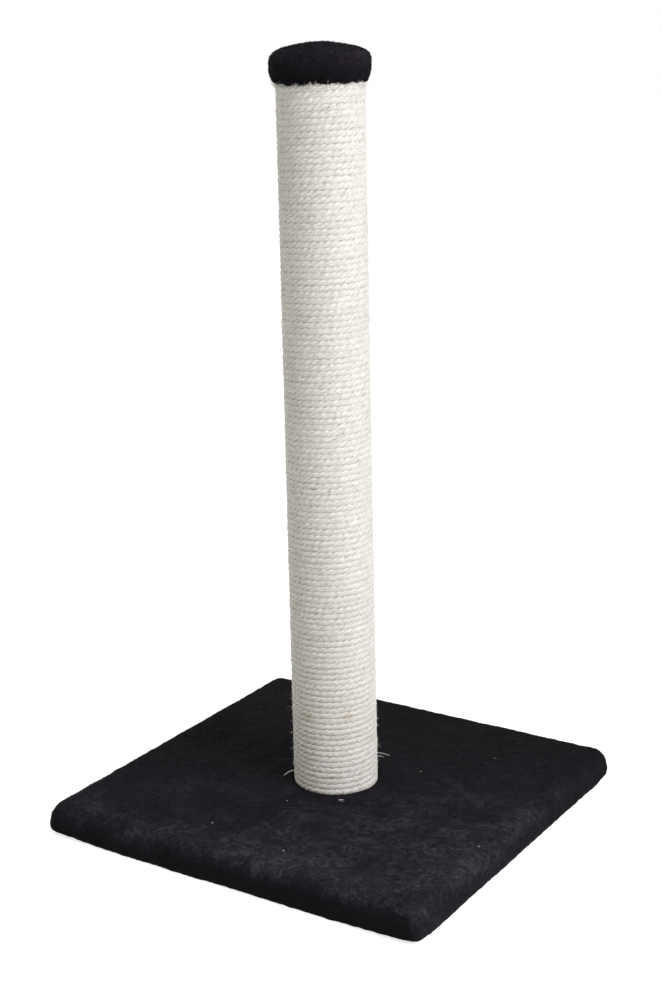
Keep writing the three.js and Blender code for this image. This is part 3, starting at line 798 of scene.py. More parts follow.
@dataclass
class Fibres:
    """Loose sisal fibres, each a thin three-sided tube on a bent line that comes to a point.

    Fields:
        root, way, bend: One row per fibre: where it starts, its first direction, and where it bends to.
        length, radius: One value per fibre.
        steps: Straight steps in one.
        taper: How much thinner its tip is, as a share.
    """

    root: np.ndarray
    way: np.ndarray
    bend: np.ndarray
    length: np.ndarray
    radius: np.ndarray
    steps: int = 5
    taper: float = 0.75

    def surface(self) -> Surface:
        """Point = root + length (t way + t^2 bend), with a section that shrinks as 1 - taper t."""
        share = np.linspace(0, 1, self.steps + 1)[None, :, None]
        way, bend = self.way[:, None], self.bend[:, None]
        line = self.root[:, None] + self.length[:, None, None] * (share * way + share**2 * bend)
        heading = unit(way + 2 * share * bend)
        side = unit(np.cross(heading, np.array([0.31, 0.17, 0.93])))[:, :, None]
        other = np.cross(heading, side[:, :, 0])[:, :, None]
        angle = (np.arange(3) * TURN / 3)[:, None]
        radius = (self.radius[:, None, None] * (1 - self.taper * share))[..., None]
        points = line[:, :, None] + radius * (side * np.cos(angle) + other * np.sin(angle))
        count, rows = points.shape[:2]
        row, column = (each.ravel() for each in np.mgrid[0 : rows - 1, 0:3])
        quads = np.stack([row * 3 + column, row * 3 + (column + 1) % 3], axis=1)
        quads = np.concatenate([quads, quads[:, ::-1] + 3], axis=1)
        ends = np.array([[0, 2, 1], [rows * 3 - 3, rows * 3 - 2, rows * 3 - 1]])
        u = np.stack([column, column + 1, column + 1, column], axis=1) / 3
        v = np.stack([row, row, row + 1, row + 1], axis=1) / (rows - 1) * 0.9
        end_shape = np.array([[(0, 0.94), (0.1, 0.94), (0, 1)], [(0.5, 0.94), (0.6, 0.94), (0.5, 1)]])
        first = np.arange(count)[:, None, None] * rows * 3
        kinds = ((quads, np.stack([u, v], axis=-1), 4), (ends, end_shape, 3))
        faces = [(first + numbers).reshape(-1, corners) for numbers, _, corners in kinds]
        bake = [own_cells(count, shape).reshape(-1, corners, 2) for _, shape, corners in kinds]
        return Surface(points.reshape(-1, 3), faces, bake).outward()


# ---- the post's sub-assemblies ----


@dataclass
class SisalPost:
    """One length of three-strand sisal rope wound on the tube, with its loose fibres.

    Fields:
        first_height, pitch, turns: Of the winding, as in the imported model.
        outer_radius: Over the rope.
        strand_out, strand_radius: How far a strand's middle is from the rope's, and its radius.
        strand_points: Points of a section on one strand.
        lay_length: In which a strand goes once round the rope.
        flat_in, flat_up: How far the rope is pressed towards the tube, and spread up and down.
        top_up: How much more it is spread under the cap, where it was wound tightest.
        slack: How much further out the rope lies at the foot than under the cap.
        squared, squared_turns: How far the front of the first and last turns is pushed towards the end to lie
            level, and over how many turns that dies out.
        squared_at: The place round the post where that is most, in turns from the back.
        tail: Turns by which each end runs on past the winding, thinning out beside its last turn.
        sway, proud, thick, stray, rough: Layers of noise in the rope's height and its distance from the tube
            in millimetres, its thickness as a share, its twist in radians, and its surface in millimetres.
        steps: Straight steps in one turn.
        lengths: The names of the equal parts that it is modelled in, from the foot up.
    """

    first_height: float = 31.2 * MM
    pitch: float = 5.52 * MM
    turns: int = 120
    outer_radius: float = 40 * MM
    strand_out: float = 1.05 * MM
    strand_radius: float = 1.71 * MM
    strand_points: int = 6
    lay_length: float = 19.5 * MM
    flat_in: float = 0.72
    flat_up: float = 1.3
    top_up: float = 0.1
    slack: float = 1.3 * MM
    squared: float = 2.7 * MM
    squared_turns: float = 22.0
    squared_at: float = 0.64
    tail: float = 0.5
    sway: Layers = ((90, 0.32, 11), (19, 0.14, 12))
    proud: Layers = ((75, 0.22, 15),)
    thick: Layers = ((42, 0.05, 13), (9, 0.03, 14))
    stray: Layers = ((60, 0.5, 16), (16, 0.4, 17))
    rough: Layers = ((2.6, 0.17, 31), (1.4, 0.17, 32))
    steps: int = 156
    lengths: tuple[str, ...] = ("rope_foot", "rope_lower", "rope_upper", "rope_top")

    @property
    def top(self) -> float:
        """Height of the last turn."""
        return self.first_height + self.turns * self.pitch

    @property
    def rope_radius(self) -> float:
        """Over a strand's crown."""
        return self.strand_out + self.strand_radius

    @property
    def centre_radius(self) -> float:
        """From the post's axis to the rope's middle."""
        return self.outer_radius - self.rope_radius * self.flat_in

    def strand_section(self) -> tuple[np.ndarray, np.ndarray]:
        """Angle and radius of the section's points, the first of each strand's in the groove before it.

        The radius at an angle d from a strand's middle is a cos d + sqrt(b^2 - a^2 sin^2 d), for a strand of
        radius b whose middle is a from the rope's.
        """
        count = 3 * self.strand_points
        point = np.arange(count)
        off = (point % self.strand_points / self.strand_points - 0.5) * TURN / 3
        reach = np.sqrt(self.strand_radius**2 - (self.strand_out * np.sin(off)) ** 2)
        return point * TURN / count, self.strand_out * np.cos(off) + reach

    def height_at(self, turn: np.ndarray) -> np.ndarray:
        """The helix's height, levelled towards both ends.

        first_height + turn pitch, plus (1 + cos of the angle from squared_at) / 2 times squared, which falls
        to nothing squared_turns from the top, and the same downwards at the foot. The tails run on level.
        """
        turn = np.clip(turn, 0, self.turns)
        front = (1 + np.cos((turn - self.squared_at) * TURN)) / 2
        level = np.clip(1 - (self.turns - turn) / self.squared_turns, 0, 1)
        level -= np.clip(1 - turn / self.squared_turns, 0, 1)
        return self.first_height + turn * self.pitch + front * level * self.squared

    def wound(self, first: float, last: float) -> Surface:
        """The rope between two turns.

        The rope's middle is on the helix of angle 2 pi (turn + 1/4) and height first_height + turn pitch. Its
        section turns once in a lay length, is pressed flat, and varies a little along the rope. In a tail it
        shrinks to a tenth, as 1 - 0.9 (share of the tail)^1.3, towards the outside of the post and its end.

        Args:
            first, last: In turns from the foot.

        Returns:
            A closed tube.
        """
        turn = np.linspace(first, last, round((last - first) * self.steps) + 1)
        along = turn * math.hypot(TURN * self.centre_radius, self.pitch)
        out = round_post((turn + 0.25) * TURN)[0]
        beyond = turn - np.clip(turn, 0, self.turns)
        spread = self.flat_up + self.top_up * (turn / self.turns) ** 2
        full = 1 - 0.9 * np.clip(abs(beyond) / self.tail, 0, 1) ** 1.3
        spare = (1 - full) * self.rope_radius
        proud = layered(along, self.proud, line_noise) * MM + self.slack * (1 - turn / self.turns)
        centre = out * (self.centre_radius + proud + spare * self.flat_in * 0.8)[:, None]
        sway = layered(along, self.sway, line_noise) * MM
        centre[:, 2] = self.height_at(turn) + sway * full + np.sign(beyond) * spare * spread
        angle, radius = self.strand_section()
        twist = along / self.lay_length * TURN + layered(along, self.stray, line_noise)
        angle = angle + twist[:, None]
        strand = np.repeat(np.arange(3), self.strand_points)
        uneven = np.stack([line_noise(along, 30 * MM, 20 + each) for each in range(3)], axis=-1)
        thick = (1 + layered(along, self.thick, line_noise)) * full
        radius = radius * thick[:, None] * (1 + 0.05 * uneven[:, strand])
        points = centre[:, None] + out[:, None] * (radius * np.cos(angle) * self.flat_in)[..., None]
        points[..., 2] += radius * np.sin(angle) * spread[:, None]
        facing = out[:, None] * np.cos(angle)[..., None]
        facing[..., 2] = np.sin(angle)
        points += facing * layered(points, self.rough)[..., None] * MM
        round_it = np.linspace(0, 1, len(strand) + 1)
        surface = grid_surface(points, True, True, (along, round_it))
        self.folded_map(surface, turn - first, round_it * 0.94)
        return surface.outward()

    def folded_map(self, surface: Surface, row_turn: np.ndarray, around: np.ndarray) -> None:
        """Lays the bake's map in one row per turn, so that the long rope fills a square.

        Args:
            surface: The rope, whose first faces are its quads.
            row_turn: The turn of each row of points, from 0.
            around: The place of each column within its turn's row, from 0 to 1.
        """
        start, end = row_turn[:-1], row_turn[1:]
        number = np.floor((start + end) / 2)[:, None]
        step = np.stack([around[:-1], around[1:], around[1:], around[:-1]], axis=-1)
        u = np.stack([start, start, end, end], axis=-1) - number
        u = np.broadcast_to(u[:, None], (len(u), *step.shape))
        v = (number[..., None] + 0.02 + step) / math.ceil(row_turn[-1])
        surface.bake[0] = np.stack([u, v], axis=-1).reshape(-1, 4, 2)

    def on_rope(self, angle: np.ndarray, height: np.ndarray, out: float | np.ndarray) -> np.ndarray:
        """Places round the post at angles in radians, heights and a distance beyond the rope's crowns."""
        radius = self.outer_radius + out
        return np.stack([radius * np.cos(angle), radius * np.sin(angle), height], axis=-1)

    def short_fibres(self, count: int = 7000) -> Fibres:
        """Broken ends that lie along the rope or stand a little off it, at random from foot to cap."""
        random = np.random.default_rng(404)
        angle = random.uniform(0, TURN, count)
        height = random.uniform(self.first_height, self.top, count)
        out, along = round_post(angle)
        sense = random.choice([-1.0, 1.0], count)[:, None]
        loose = (random.random((count, 1)) < 0.1) * random.uniform(0.2, 0.9, (count, 1))
        way = (along + UP * random.uniform(0.1, 0.9, (count, 1))) * sense
        way = way + out * (0.05 + loose) + random.normal(0, 0.15, (count, 3))
        bend = random.normal(0, 0.2, (count, 3)) - out * (0.12 + 0.2 * loose)
        length = random.uniform(3, 9, count) * MM
        radius = (0.1 + 0.24 * random.random(count) ** 3) * MM
        away = self.slack * (1 - height / self.top) + random.uniform(-0.45, 0.05, count) * MM
        return Fibres(self.on_rope(angle, height, away), unit(way), bend, length, radius, 3)

    def foot_fibres(self) -> Fibres:
        """The few long fibres that stand out above the foot, and the wisps at its lower edge.

        Each row is angle in degrees, height, how far outwards, along and upwards it starts and then bends,
        and its length and radius in millimetres.
        """
        rows = np.array([
            [-146, 38.6, 1.0, -0.1, -0.12, -0.05, 0.0, -0.42, 12.5, 0.62],
            [-146, 38.2, 1.0, -0.12, -0.14, -0.05, 0.0, -0.4, 11.5, 0.5],
            [32, 55.0, 1.0, 0.15, -0.05, 0.1, 0.0, -0.3, 12.0, 0.28],
            [30, 52.2, 1.0, 0.3, -0.1, 0.0, 0.0, -0.2, 8.0, 0.16],
            [33, 49.5, 0.8, 0.2, 0.5, 0.1, 0.0, -0.2, 5.0, 0.16],
            [31, 63.5, 1.0, 0.1, 0.2, 0.0, 0.0, 0.1, 4.0, 0.14],
            [33, 90.0, 1.0, -0.1, 0.4, 0.0, 0.0, 0.2, 3.5, 0.12],
            [-146, 79.0, 1.0, 0.0, 0.3, 0.0, 0.0, -0.3, 4.0, 0.14],
            [-145, 64.0, 0.9, 0.2, -0.3, 0.1, 0.0, -0.2, 4.0, 0.14],
            [-146, 102.0, 1.0, 0.0, 0.0, 0.0, 0.0, 0.1, 3.5, 0.12],
            [-147, 44.0, 1.0, 0.0, 0.3, 0.0, 0.0, -0.1, 2.5, 0.12],
            [-53, 30.6, 0.7, 0.3, -0.1, 0.0, 0.1, -0.2, 4.0, 0.22],
            [-56, 30.4, 0.6, -0.4, 0.0, 0.0, -0.1, -0.1, 3.5, 0.2],
            [-50, 30.8, 0.8, 0.2, 0.1, 0.0, 0.0, -0.3, 3.0, 0.18],
        ])
        angle = np.radians(rows[:, 0])
        out, along = round_post(angle)
        way, bend = (
            out * rows[:, at : at + 1] + along * rows[:, at + 1 : at + 2] + UP * rows[:, at + 2 : at + 3]
            for at in (2, 5)
        )
        root = self.on_rope(angle, rows[:, 1] * MM, 0.2 * MM)
        return Fibres(root, unit(way), bend, rows[:, 8] * MM, rows[:, 9] * MM, 9, 0.4)

    def bark_flecks(self, count: int = 90) -> Fibres:
        """Short dark ends of bark among the strands: a few set ones, and others at random.

        Each row is angle in degrees, height, length, slope and thickness, in millimetres.
        """
        random = np.random.default_rng(909)
        rows = [
            [-76, 335.6, 6.5, 0.0, 0.3], [-56, 334.0, 2.6, 0.3, 0.42], [-37, 388.0, 2.0, 0.6, 0.35],
            [-48, 383.0, 3.6, 0.5, 0.3], [-112, 328.0, 2.4, 0.4, 0.3], [-46.5, 677.7, 1.2, 0.5, 0.45],
            [-60, 49.4, 5.6, 0.35, 0.42], [-104, 76.0, 3.0, 0.1, 0.3], [-112, 560.0, 2.0, 0.3, 0.3],
        ]
        reaches = ((-180, 180), (36, 690), (0.9, 3.5), (0, 0.9), (0.1, 0.24))
        spread = [random.uniform(*reach, count) for reach in reaches]
        rows = np.concatenate([rows, np.stack(spread, axis=1)])
        angle, height = np.radians(rows[:, 0]), rows[:, 1] * MM
        out, along = round_post(angle)
        way = unit(along + UP * rows[:, 3:4])
        root = self.on_rope(angle, height, 0.85 * MM + self.slack * (1 - height / 0.7))
        thick = rows[:, 4] * 1.25 * MM
        return Fibres(root - way * rows[:, 2:3] * MM / 2, way, -0.05 * out, rows[:, 2] * MM, thick, 4)

    def cap_wisps(self, count: int = 120) -> Fibres:
        """Fibres of the last turn that lie up over the plush of the cap's lower edge."""
        random = np.random.default_rng(77)
        bunches = np.radians([-31, -72, 3, 150, 80, -140])
        angle = np.repeat(bunches, 9) + random.normal(0, 0.05, 9 * len(bunches))
        angle = np.concatenate([angle, random.uniform(0, TURN, count)])
        count = len(angle)
        out, along = round_post(angle)
        height = self.top + random.uniform(-1, 3, count) * MM
        way = out * random.uniform(0.5, 1.0, (count, 1)) + UP * random.uniform(0.2, 0.8, (count, 1))
        way = way + along * random.normal(0, 0.7, (count, 1))
        bend = random.normal(0, 0.2, (count, 3)) - out * 0.25 + UP * 0.15
        length = random.uniform(4.0, 8.0, count) * MM
        radius = random.uniform(0.14, 0.34, count) * MM
        return Fibres(self.on_rope(angle, height, -0.3 * MM), unit(way), bend, length, radius)

    def build(self) -> None:
        """Makes the rope and its fibres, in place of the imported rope."""
        sisal = SisalFinish().material()
        share = self.turns / len(self.lengths)
        last = len(self.lengths) - 1
        for i, name in enumerate(self.lengths):
            reach = i * share - self.tail * (i == 0), (i + 1) * share + self.tail * (i == last)
            piece = make_piece(name, self.wound(*reach), sisal)
            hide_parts("sisal_rope")
        loose = [self.short_fibres().surface(), self.foot_fibres().surface(), self.cap_wisps().surface()]
        make_piece("rope_fibres", joined(loose), FibreFinish().material())
        bark = FibreFinish("sisal_bark", colour(92, 84, 68), colour(60, 54, 44)).material()
        make_piece("rope_bark", self.bark_flecks().surface(), bark)


@dataclass
class PlushBase:
    """The base's plush cover, drawn tight over the board and turned in under it.

    Fields:
        length, width, top: Over the cover.
        shoulder, foot, corner: Radii of its upper edge, its lower edge, and its corners seen from above.
        corner_fills: How much further than that a corner's middle stands out, as a share, at some heights in
            millimetres.
        rise, rise_along, rise_round: How much higher its lower edge is at the corners, and how far that
            reaches along the long sides and round the corner.
        low, pile_low: Heights of its underside, and of the pile's lowest roots.
        tuck, tuck_up: How far in from the outside the cloth goes before it lies inside the hem, and its
            height there.
        cell: Of the grid.
        seat_radius, seat_depth, seat_slope: The hollow that the foot of the post presses into it.
        hem_out, hem_in, hem_thickness: The turned-in edge, measured in from the base's outside.
        hem_corner: Radius of its corners, seen from above.
        dimple, dimple_round: How deep a staple's crown draws the hem in, and how far round it that shows.
        waves, combed, hem_rough: Layers of noise, in millimetres, in the cover's broad form, in its tufts
            across the way they are combed, and in the hem's underside.
    """

    length: float = 410 * MM
    width: float = 390 * MM
    top: float = 32 * MM
    shoulder: float = 12 * MM
    foot: float = 2.4 * MM
    corner: float = 13 * MM
    corner_fills: tuple[tuple[float, float], ...] = (
        (0, 0.02), (2.6, 0.22), (7, 0.3), (12, 0.28), (21, 0.12), (32, -0.12),
    )
    rise: float = 3.4 * MM
    rise_along: float = 90 * MM
    rise_round: float = 25 * MM
    low: float = 0.2 * MM
    pile_low: float = 4.5 * MM
    tuck: float = 8.4 * MM
    tuck_up: float = 1.5 * MM
    cell: float = 1.6 * MM
    seat_radius: float = 41.2 * MM
    seat_depth: float = 4.0 * MM
    seat_slope: float = 3.5 * MM
    hem_out: float = 5.2 * MM
    hem_in: float = 40.5 * MM
    hem_thickness: float = 2.7 * MM
    hem_corner: float = 8.6 * MM
    dimple: float = 1.45 * MM
    dimple_round: float = 4.0 * MM
    waves: Layers = ((46, 0.3, 51), (7, 0.32, 52))
    combed: Layers = ((2.6, 0.3, 53),)
    hem_rough: Layers = ((6, 0.2, 61), (2.2, 0.2, 62))

    def edge_profile(self) -> tuple[np.ndarray, np.ndarray, np.ndarray]:
        """The section over the edge: distance along the cloth, distance outwards, and height.

        A flat millimetre, a quarter circle of the shoulder's radius, the upright side, a quarter circle
        of the foot's radius that turns in, and a stretch under the board that ends inside the hem.
        """
        bend = np.linspace(0, math.pi / 2, 25)
        outwards = np.concatenate([
            [0.0],
            self.corner - self.shoulder + self.shoulder * np.sin(bend),
            self.corner - self.foot * (1 - np.cos(bend)),
            [self.corner - self.hem_out, self.corner - self.tuck],
        ])
        height = np.concatenate([
            [self.top],
            self.top - self.shoulder * (1 - np.cos(bend)),
            self.low + self.foot - self.foot * np.sin(bend),
            [self.low + 0.15 * MM, self.tuck_up],
        ])
        return walked(outwards, height), outwards, height

    def cloth_axis(self, inner: float, edge: float) -> np.ndarray:
        """Even grid lines over one side of the flat cloth: its flat top, and its edge beyond it."""
        inside = round(2 * inner / self.cell)
        beyond = round(edge / self.cell)
        rim = np.linspace(0, edge, beyond + 1)[1:]
        return np.concatenate([-inner - rim[::-1], np.linspace(-inner, inner, inside + 1), inner + rim])

    def cover(self) -> Surface:
        """The cover as one open sheet.

        Beyond the flat top a point's distance along the edge's section is the larger of its two distances
        beyond it. The ratio of the two turns it round the corner, from 0 to a quarter turn.
        """
        inner = np.array([self.length / 2 - self.corner, self.width / 2 - self.corner])
        along, outwards, height = self.edge_profile()
        x, y = np.meshgrid(*(self.cloth_axis(each, along[-1]) for each in inner), indexing="ij")
        beyond_x, beyond_y = np.maximum(abs(x) - inner[0], 0), np.maximum(abs(y) - inner[1], 0)
        most = np.maximum(beyond_x, beyond_y)
        least = np.minimum(beyond_x, beyond_y)
        turned = math.pi / 4 * least / np.maximum(most, 1e-9)
        turned = np.where(beyond_y > beyond_x, math.pi / 2 - turned, turned)
        reach = np.interp(most, along, outwards)
        high = np.interp(most, along, height)
        heights, fills = np.array(self.corner_fills).T
        reach = reach * (1 + np.interp(high / MM, heights, fills) * np.sin(2 * turned) ** 2)
        flat_x = np.clip(x, -inner[0], inner[0]) + np.cos(turned) * np.sign(x) * reach
        flat_y = np.clip(y, -inner[1], inner[1]) + np.sin(turned) * np.sign(y) * reach
        lifted = np.clip(1 - (self.length / 2 - abs(flat_x)) / self.rise_along, 0, 1) ** 1.2
        lifted *= np.clip(1 - (self.width / 2 - abs(flat_y)) / self.rise_round, 0, 1)
        free = np.clip((along[-1] - most) / (along[-1] - along[-3]), 0, 1)
        high = high + self.rise * lifted * free * np.clip(1 - high / (self.top / 2), 0, 1)
        points = np.stack([flat_x, flat_y, high], axis=-1)
        surface = grid_surface(points).outward()
        tufts = self.tufts(surface.points) * (0.15 + 0.85 * free.ravel())
        surface.points += surface.normals() * tufts[:, None]
        surface.points[:, 2] -= self.seat(surface.points)
        surface.points[:, 2] = np.maximum(surface.points[:, 2], 0.12 * MM)
        return surface

    def tufts(self, points: np.ndarray) -> np.ndarray:
        """How far the pile's mass stands out: broad brushed waves, clumps and tufts, added up."""
        combed = points @ np.array([[0.8, -0.6, 0], [0.3, 0.4, 0], [0, 0, 0.7]]).T
        return (layered(points, self.waves) + layered(combed, self.combed) - 0.2) * MM

    def seat(self, points: np.ndarray) -> np.ndarray:
        """How deep the cloth is pressed: the whole depth under the post, and a smooth rise beyond it."""
        out = (np.hypot(points[:, 0], points[:, 1]) - self.seat_radius) / self.seat_slope
        rise = np.clip(out, 0, 1)
        return self.seat_depth * (1 - rise * rise * (3 - 2 * rise)) * (points[:, 2] > self.top / 2)

    def hem_flap(self, half_along: float, half_out: float, quarter: int) -> Surface:
        """One side's turned-in edge: a flat pressed section carried along the side, mitred at both ends.

        The section is a rounded oblong, |x|^5 + |z|^2.2 = 1 stretched to its size, in even steps.

        Args:
            half_along: Half the base's size along the side.
            half_out: From the middle to the side.
            quarter: How many quarter turns from the front.

        Returns:
            A closed flap.
        """
        turn = np.linspace(0, TURN, 4001)
        middle, half = (self.hem_in + self.hem_out) / 2, (self.hem_in - self.hem_out) / 2
        inset = middle + half * np.sign(np.cos(turn)) * abs(np.cos(turn)) ** 0.2
        height = np.sign(np.sin(turn)) * abs(np.sin(turn)) ** 0.45
        height = 0.35 * MM + self.hem_thickness * (0.5 + 0.5 * height)
        far = walked(inset, height)
        even = np.linspace(0, far[-1], 72, endpoint=False)
        inset, height = np.interp(even, far, inset), np.interp(even, far, height)
        arc = np.sqrt(np.maximum(self.hem_corner**2 - (self.corner - inset) ** 2, 0))
        mitre, arc = half_along - inset, half_along - self.corner + arc
        end = np.where(inset < self.corner, np.minimum(mitre, arc), mitre) - 0.25 * MM
        along = np.linspace(-1, 1, 210)[:, None] * end
        out, height = (np.broadcast_to(each, along.shape) for each in (inset - half_out, height))
        surface = grid_surface(np.stack([along, out, height], axis=-1), True, True).outward()
        points = surface.points
        points[:, 2] += layered(points, self.hem_rough) * MM * (points[:, 2] < 2 * MM)
        points[:, :2] = points[:, :2] @ np.linalg.matrix_power([[0.0, 1.0], [-1.0, 0.0]], quarter)
        points[:, 2] = np.maximum(points[:, 2] + self.drawn_in(points), 0.1 * MM)
        return surface

    def drawn_in(self, points: np.ndarray) -> np.ndarray:
        """How far up the staples draw the hem: all of the dimple at a crown, and nothing beyond it."""
        boxes = [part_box(name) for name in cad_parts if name.startswith("base_staple")]
        low, high = (np.array([box[end][:2] for box in boxes]) for end in (0, 1))
        beyond = abs(points[:, None, :2] - (low + high) / 2) - (high - low) / 2 - 0.5 * MM
        far = np.linalg.norm(np.maximum(beyond, 0), axis=-1).min(axis=1)
        near = np.clip(1 - far / self.dimple_round, 0, 1)
        return self.dimple * near * near * (3 - 2 * near) * (points[:, 2] < 2 * MM)

    def flat_size(self) -> tuple[float, float]:
        """The cloth's cut: both sides over the edges and in to the hem's inner edge."""
        along = self.edge_profile()[0][-1]
        turned_in = self.hem_in - self.tuck
        return tuple(each - 2 * self.corner + 2 * (along + turned_in) for each in (self.length, self.width))

    def build(self) -> None:
        """Makes the cover, its hem and its pile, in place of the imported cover."""
        plush = PlushFinish().material()
        cover = self.cover()
        piece = make_piece("base_cover", cover, plush)
        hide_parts("base_plush_cover")
        sides = [(self.length / 2, self.width / 2), (self.width / 2, self.length / 2)] * 2
        flaps = [self.hem_flap(*half, quarter) for quarter, half in enumerate(sides)]
        pieces = [make_piece("base_hem", joined(flaps), plush)]
        middles = cover.points[cover.faces[0]].mean(axis=1)
        bare = np.hypot(middles[:, 0], middles[:, 1]) < self.seat_radius + 0.6 * MM
        bearing = ~bare & (middles[:, 2] > self.pile_low)
        near = middles[:, 1] < 0
        for name, half, seed in (("base_pile_front", near, 71), ("base_pile_back", ~near, 72)):
            pile = Pile(48000, seed=seed).grown_on(cover, bearing & half)
            pile.points[:, 2] = np.maximum(pile.points[:, 2], 0.3 * MM)
            pieces.append(make_piece(name, pile, plush))
        self.flat_size()


@dataclass
class PlushCap:
    """The cap: plush drawn over wadding and a disc, gathered at its lower edge and turned in under it.

    Fields:
        bottom: Height of its lower edge.
        outside, inside: Sections of its two surfaces, radius and height above the bottom in millimetres.
        columns: Points round it.
        hole: Radius of the first ring of points round its axis.
        lumps: Layers of noise in its outer surface, in millimetres.
        gathers, gathered: Folds round its lower edge, and how high they reach.
    """

    bottom: float = 696.4 * MM
    outside: tuple[tuple[float, float], ...] = (
        (0, 34.9), (10, 34.5), (22, 33.2), (34, 30.8), (41.0, 28.0), (44.6, 24.4), (45.6, 20), (45.8, 14),
        (45.2, 8.6), (43.8, 4.6), (42.0, 1.7), (40.6, 0.4), (39.4, 0.6), (34, 0.7), (27.6, 0.7),
    )
    inside: tuple[tuple[float, float], ...] = (
        (26.8, 1.4), (27.6, 2.7), (39.6, 2.8), (40.6, 3.6), (40.7, 12), (40.7, 22.5), (38.4, 26.2),
        (30, 29.8), (18, 31.4), (0, 32),
    )
    columns: int = 300
    hole: float = 0.25 * MM
    lumps: Layers = ((19, 0.75, 81), (6, 0.4, 82), (2.4, 0.28, 83))
    gathers: int = 14
    gathered: float = 9 * MM

    def section(self, corners: Sequence[tuple[float, float]], step: float, blur: int) -> np.ndarray:
        """A section's corners, rounded.

        Args:
            corners: Radius and height of each, in millimetres.
            step: Of the even steps along its straight lines, in millimetres.
            blur: How often each step's end is averaged with its neighbours on both sides.

        Returns:
            Radius and height of each step's end, in metres.
        """
        points = np.array(corners) * MM
        along = walked(*points.T)
        even = np.linspace(0, along[-1], round(along[-1] / (step * MM)) + 1)
        line = np.stack([np.interp(even, along, points[:, axis]) for axis in (0, 1)], axis=1)
        for _ in range(blur):
            line[1:-1] = (line[:-2] + 2 * line[1:-1] + line[2:]) / 4
        return line

    def turned(self, line: np.ndarray, columns: int) -> np.ndarray:
        """A section turned round the post's axis: rows by columns of points."""
        points = line[:, None, :1] * round_post(np.linspace(0, TURN, columns, endpoint=False))[0]
        points[..., 2] = line[:, None, 1] + self.bottom
        return points

    def cover(self) -> Surface:
        """The cover as a closed skin.

        Both sections are turned round the post's axis, and the outer one is lumpy and gathered: its foot
        goes in and out as the cosine of about 14 times the angle.
        """
        outer = self.outer_section()
        line = np.concatenate([outer, self.section(self.inside, 2.0, 2)])
        line[0, 0] = line[-1, 0] = self.hole
        surface = grid_surface(self.turned(line, self.columns), True, True).outward()
        surface.creases = []
        shell = np.repeat(np.arange(len(line)) < len(outer), self.columns)
        shell = np.concatenate([shell, [True, False]])
        at = surface.points
        angle = np.arctan2(at[:, 1], at[:, 0])
        wobble = smooth_noise(round_post(angle)[0], 0.5, 84) * 1.6
        share = np.clip(1 - (at[:, 2] - self.bottom) / self.gathered, 0, 1)
        raised = layered(at, self.lumps) + np.cos(self.gathers * angle + wobble) * 0.9 * share
        outside = shell & (np.hypot(at[:, 0], at[:, 1]) > 0)
        surface.points = at + surface.normals() * (raised * MM * outside)[:, None]
        return surface

    def outer_section(self) -> np.ndarray:
        """The outer surface's section."""
        return self.section(self.outside, 0.8, 12)

    def padding(self) -> Surface:
        """The wadding under the cover: a flat foot, a short straight rim, and a dome whose height falls as
        sqrt(1 - r^2.5)."""
        share = np.linspace(1, 0.006, 26)
        foot, rim, rise, radius = 19.4, 21.3, 9.3, 39.7
        dome = np.stack([radius * share, rim + rise * np.sqrt(1 - share**2.5)], axis=1)
        line = np.concatenate([[(self.hole / MM, foot), (20, foot), (radius, foot)], dome]) * MM
        points = self.turned(line, 96)
        soft = points[3:-1]
        soft += smooth_noise(soft, 5 * MM, 91)[..., None] * 0.25 * MM * unit(soft * (1, 1, 0))
        surface = grid_surface(points, True, True).outward()
        surface.creases = []
        return surface

    def build(self) -> None:
        """Makes the cover, its pile and the wadding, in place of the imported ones."""
        plush = PlushFinish(
            "black_plush_cap",
            light=colour(66, 61, 71),
            patch=30.0,
            painted_light_from=-0.34,
            painted_light_to=-0.05,
            patchy=0.2,
            # painted shade: the cap's sides below its top are darker
            painted_shade_heights=(703 * MM, 731 * MM),
            painted_shade_rise=0.0,
            painted_glints=0.0,
        ).material()
        skin = self.cover()
        cover = make_piece("cap_cover", skin, plush)
        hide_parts("cap_plush_cover")
        middles = skin.points[skin.faces[0]].mean(axis=1)
        out = np.hypot(middles[:, 0], middles[:, 1])
        outer_quads = (len(self.outer_section()) - 1) * self.columns
        under = (middles[:, 2] < self.bottom + 1.5 * MM) & (out < 42.5 * MM)
        bearing = (np.arange(len(middles)) < outer_quads) & ~under
        pile = Pile(20000, 2.4 * MM, 0.5 * MM, swirl=26 * MM, fall=0.35, seed=73).grown_on(skin, bearing)
        make_piece("cap_pile", pile, plush)
        wadding = make_piece("cap_padding", self.padding(), WaddingFinish().material())
        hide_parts("cap_wadding")


@dataclass
class Lint:
    """Bits of sisal that have dropped on the base's plush.

    Fields:
        spots: For each, X, Y, heading in degrees, length and radius, in millimetres.
        height: Of the pile's tips.
    """

    spots: tuple[tuple[float, float, float, float, float], ...] = (
        (34.5, -48.8, 46, 5.5, 0.27), (36.5, -49.6, 20, 4.0, 0.22), (-7.4, -75.0, 100, 1.6, 0.5),
        (46.8, -160.8, 60, 1.4, 0.4), (-41.7, -148.7, 20, 1.2, 0.35), (194.0, -65.2, 80, 1.5, 0.4),
        (-95.0, 60.0, 10, 2.5, 0.2), (120.0, 110.0, 140, 3.0, 0.2), (70.0, 45.0, 75, 4.0, 0.18),
    )
    height: float = 33.3 * MM

    def build(self) -> None:
        """Makes the bits as short bent fibres that lie on the pile."""
        rows = np.array(self.spots)
        out, along = round_post(np.radians(rows[:, 2]))
        root = np.column_stack([rows[:, :2] * MM, np.full(len(rows), self.height)])
        way, bend = out + UP * 0.12, along * 0.3 - UP * 0.25
        bits = Fibres(root, unit(way), bend, rows[:, 3] * MM, rows[:, 4] * MM, 6)
        make_piece("lint", bits.surface(), FibreFinish("sisal_lint").material())


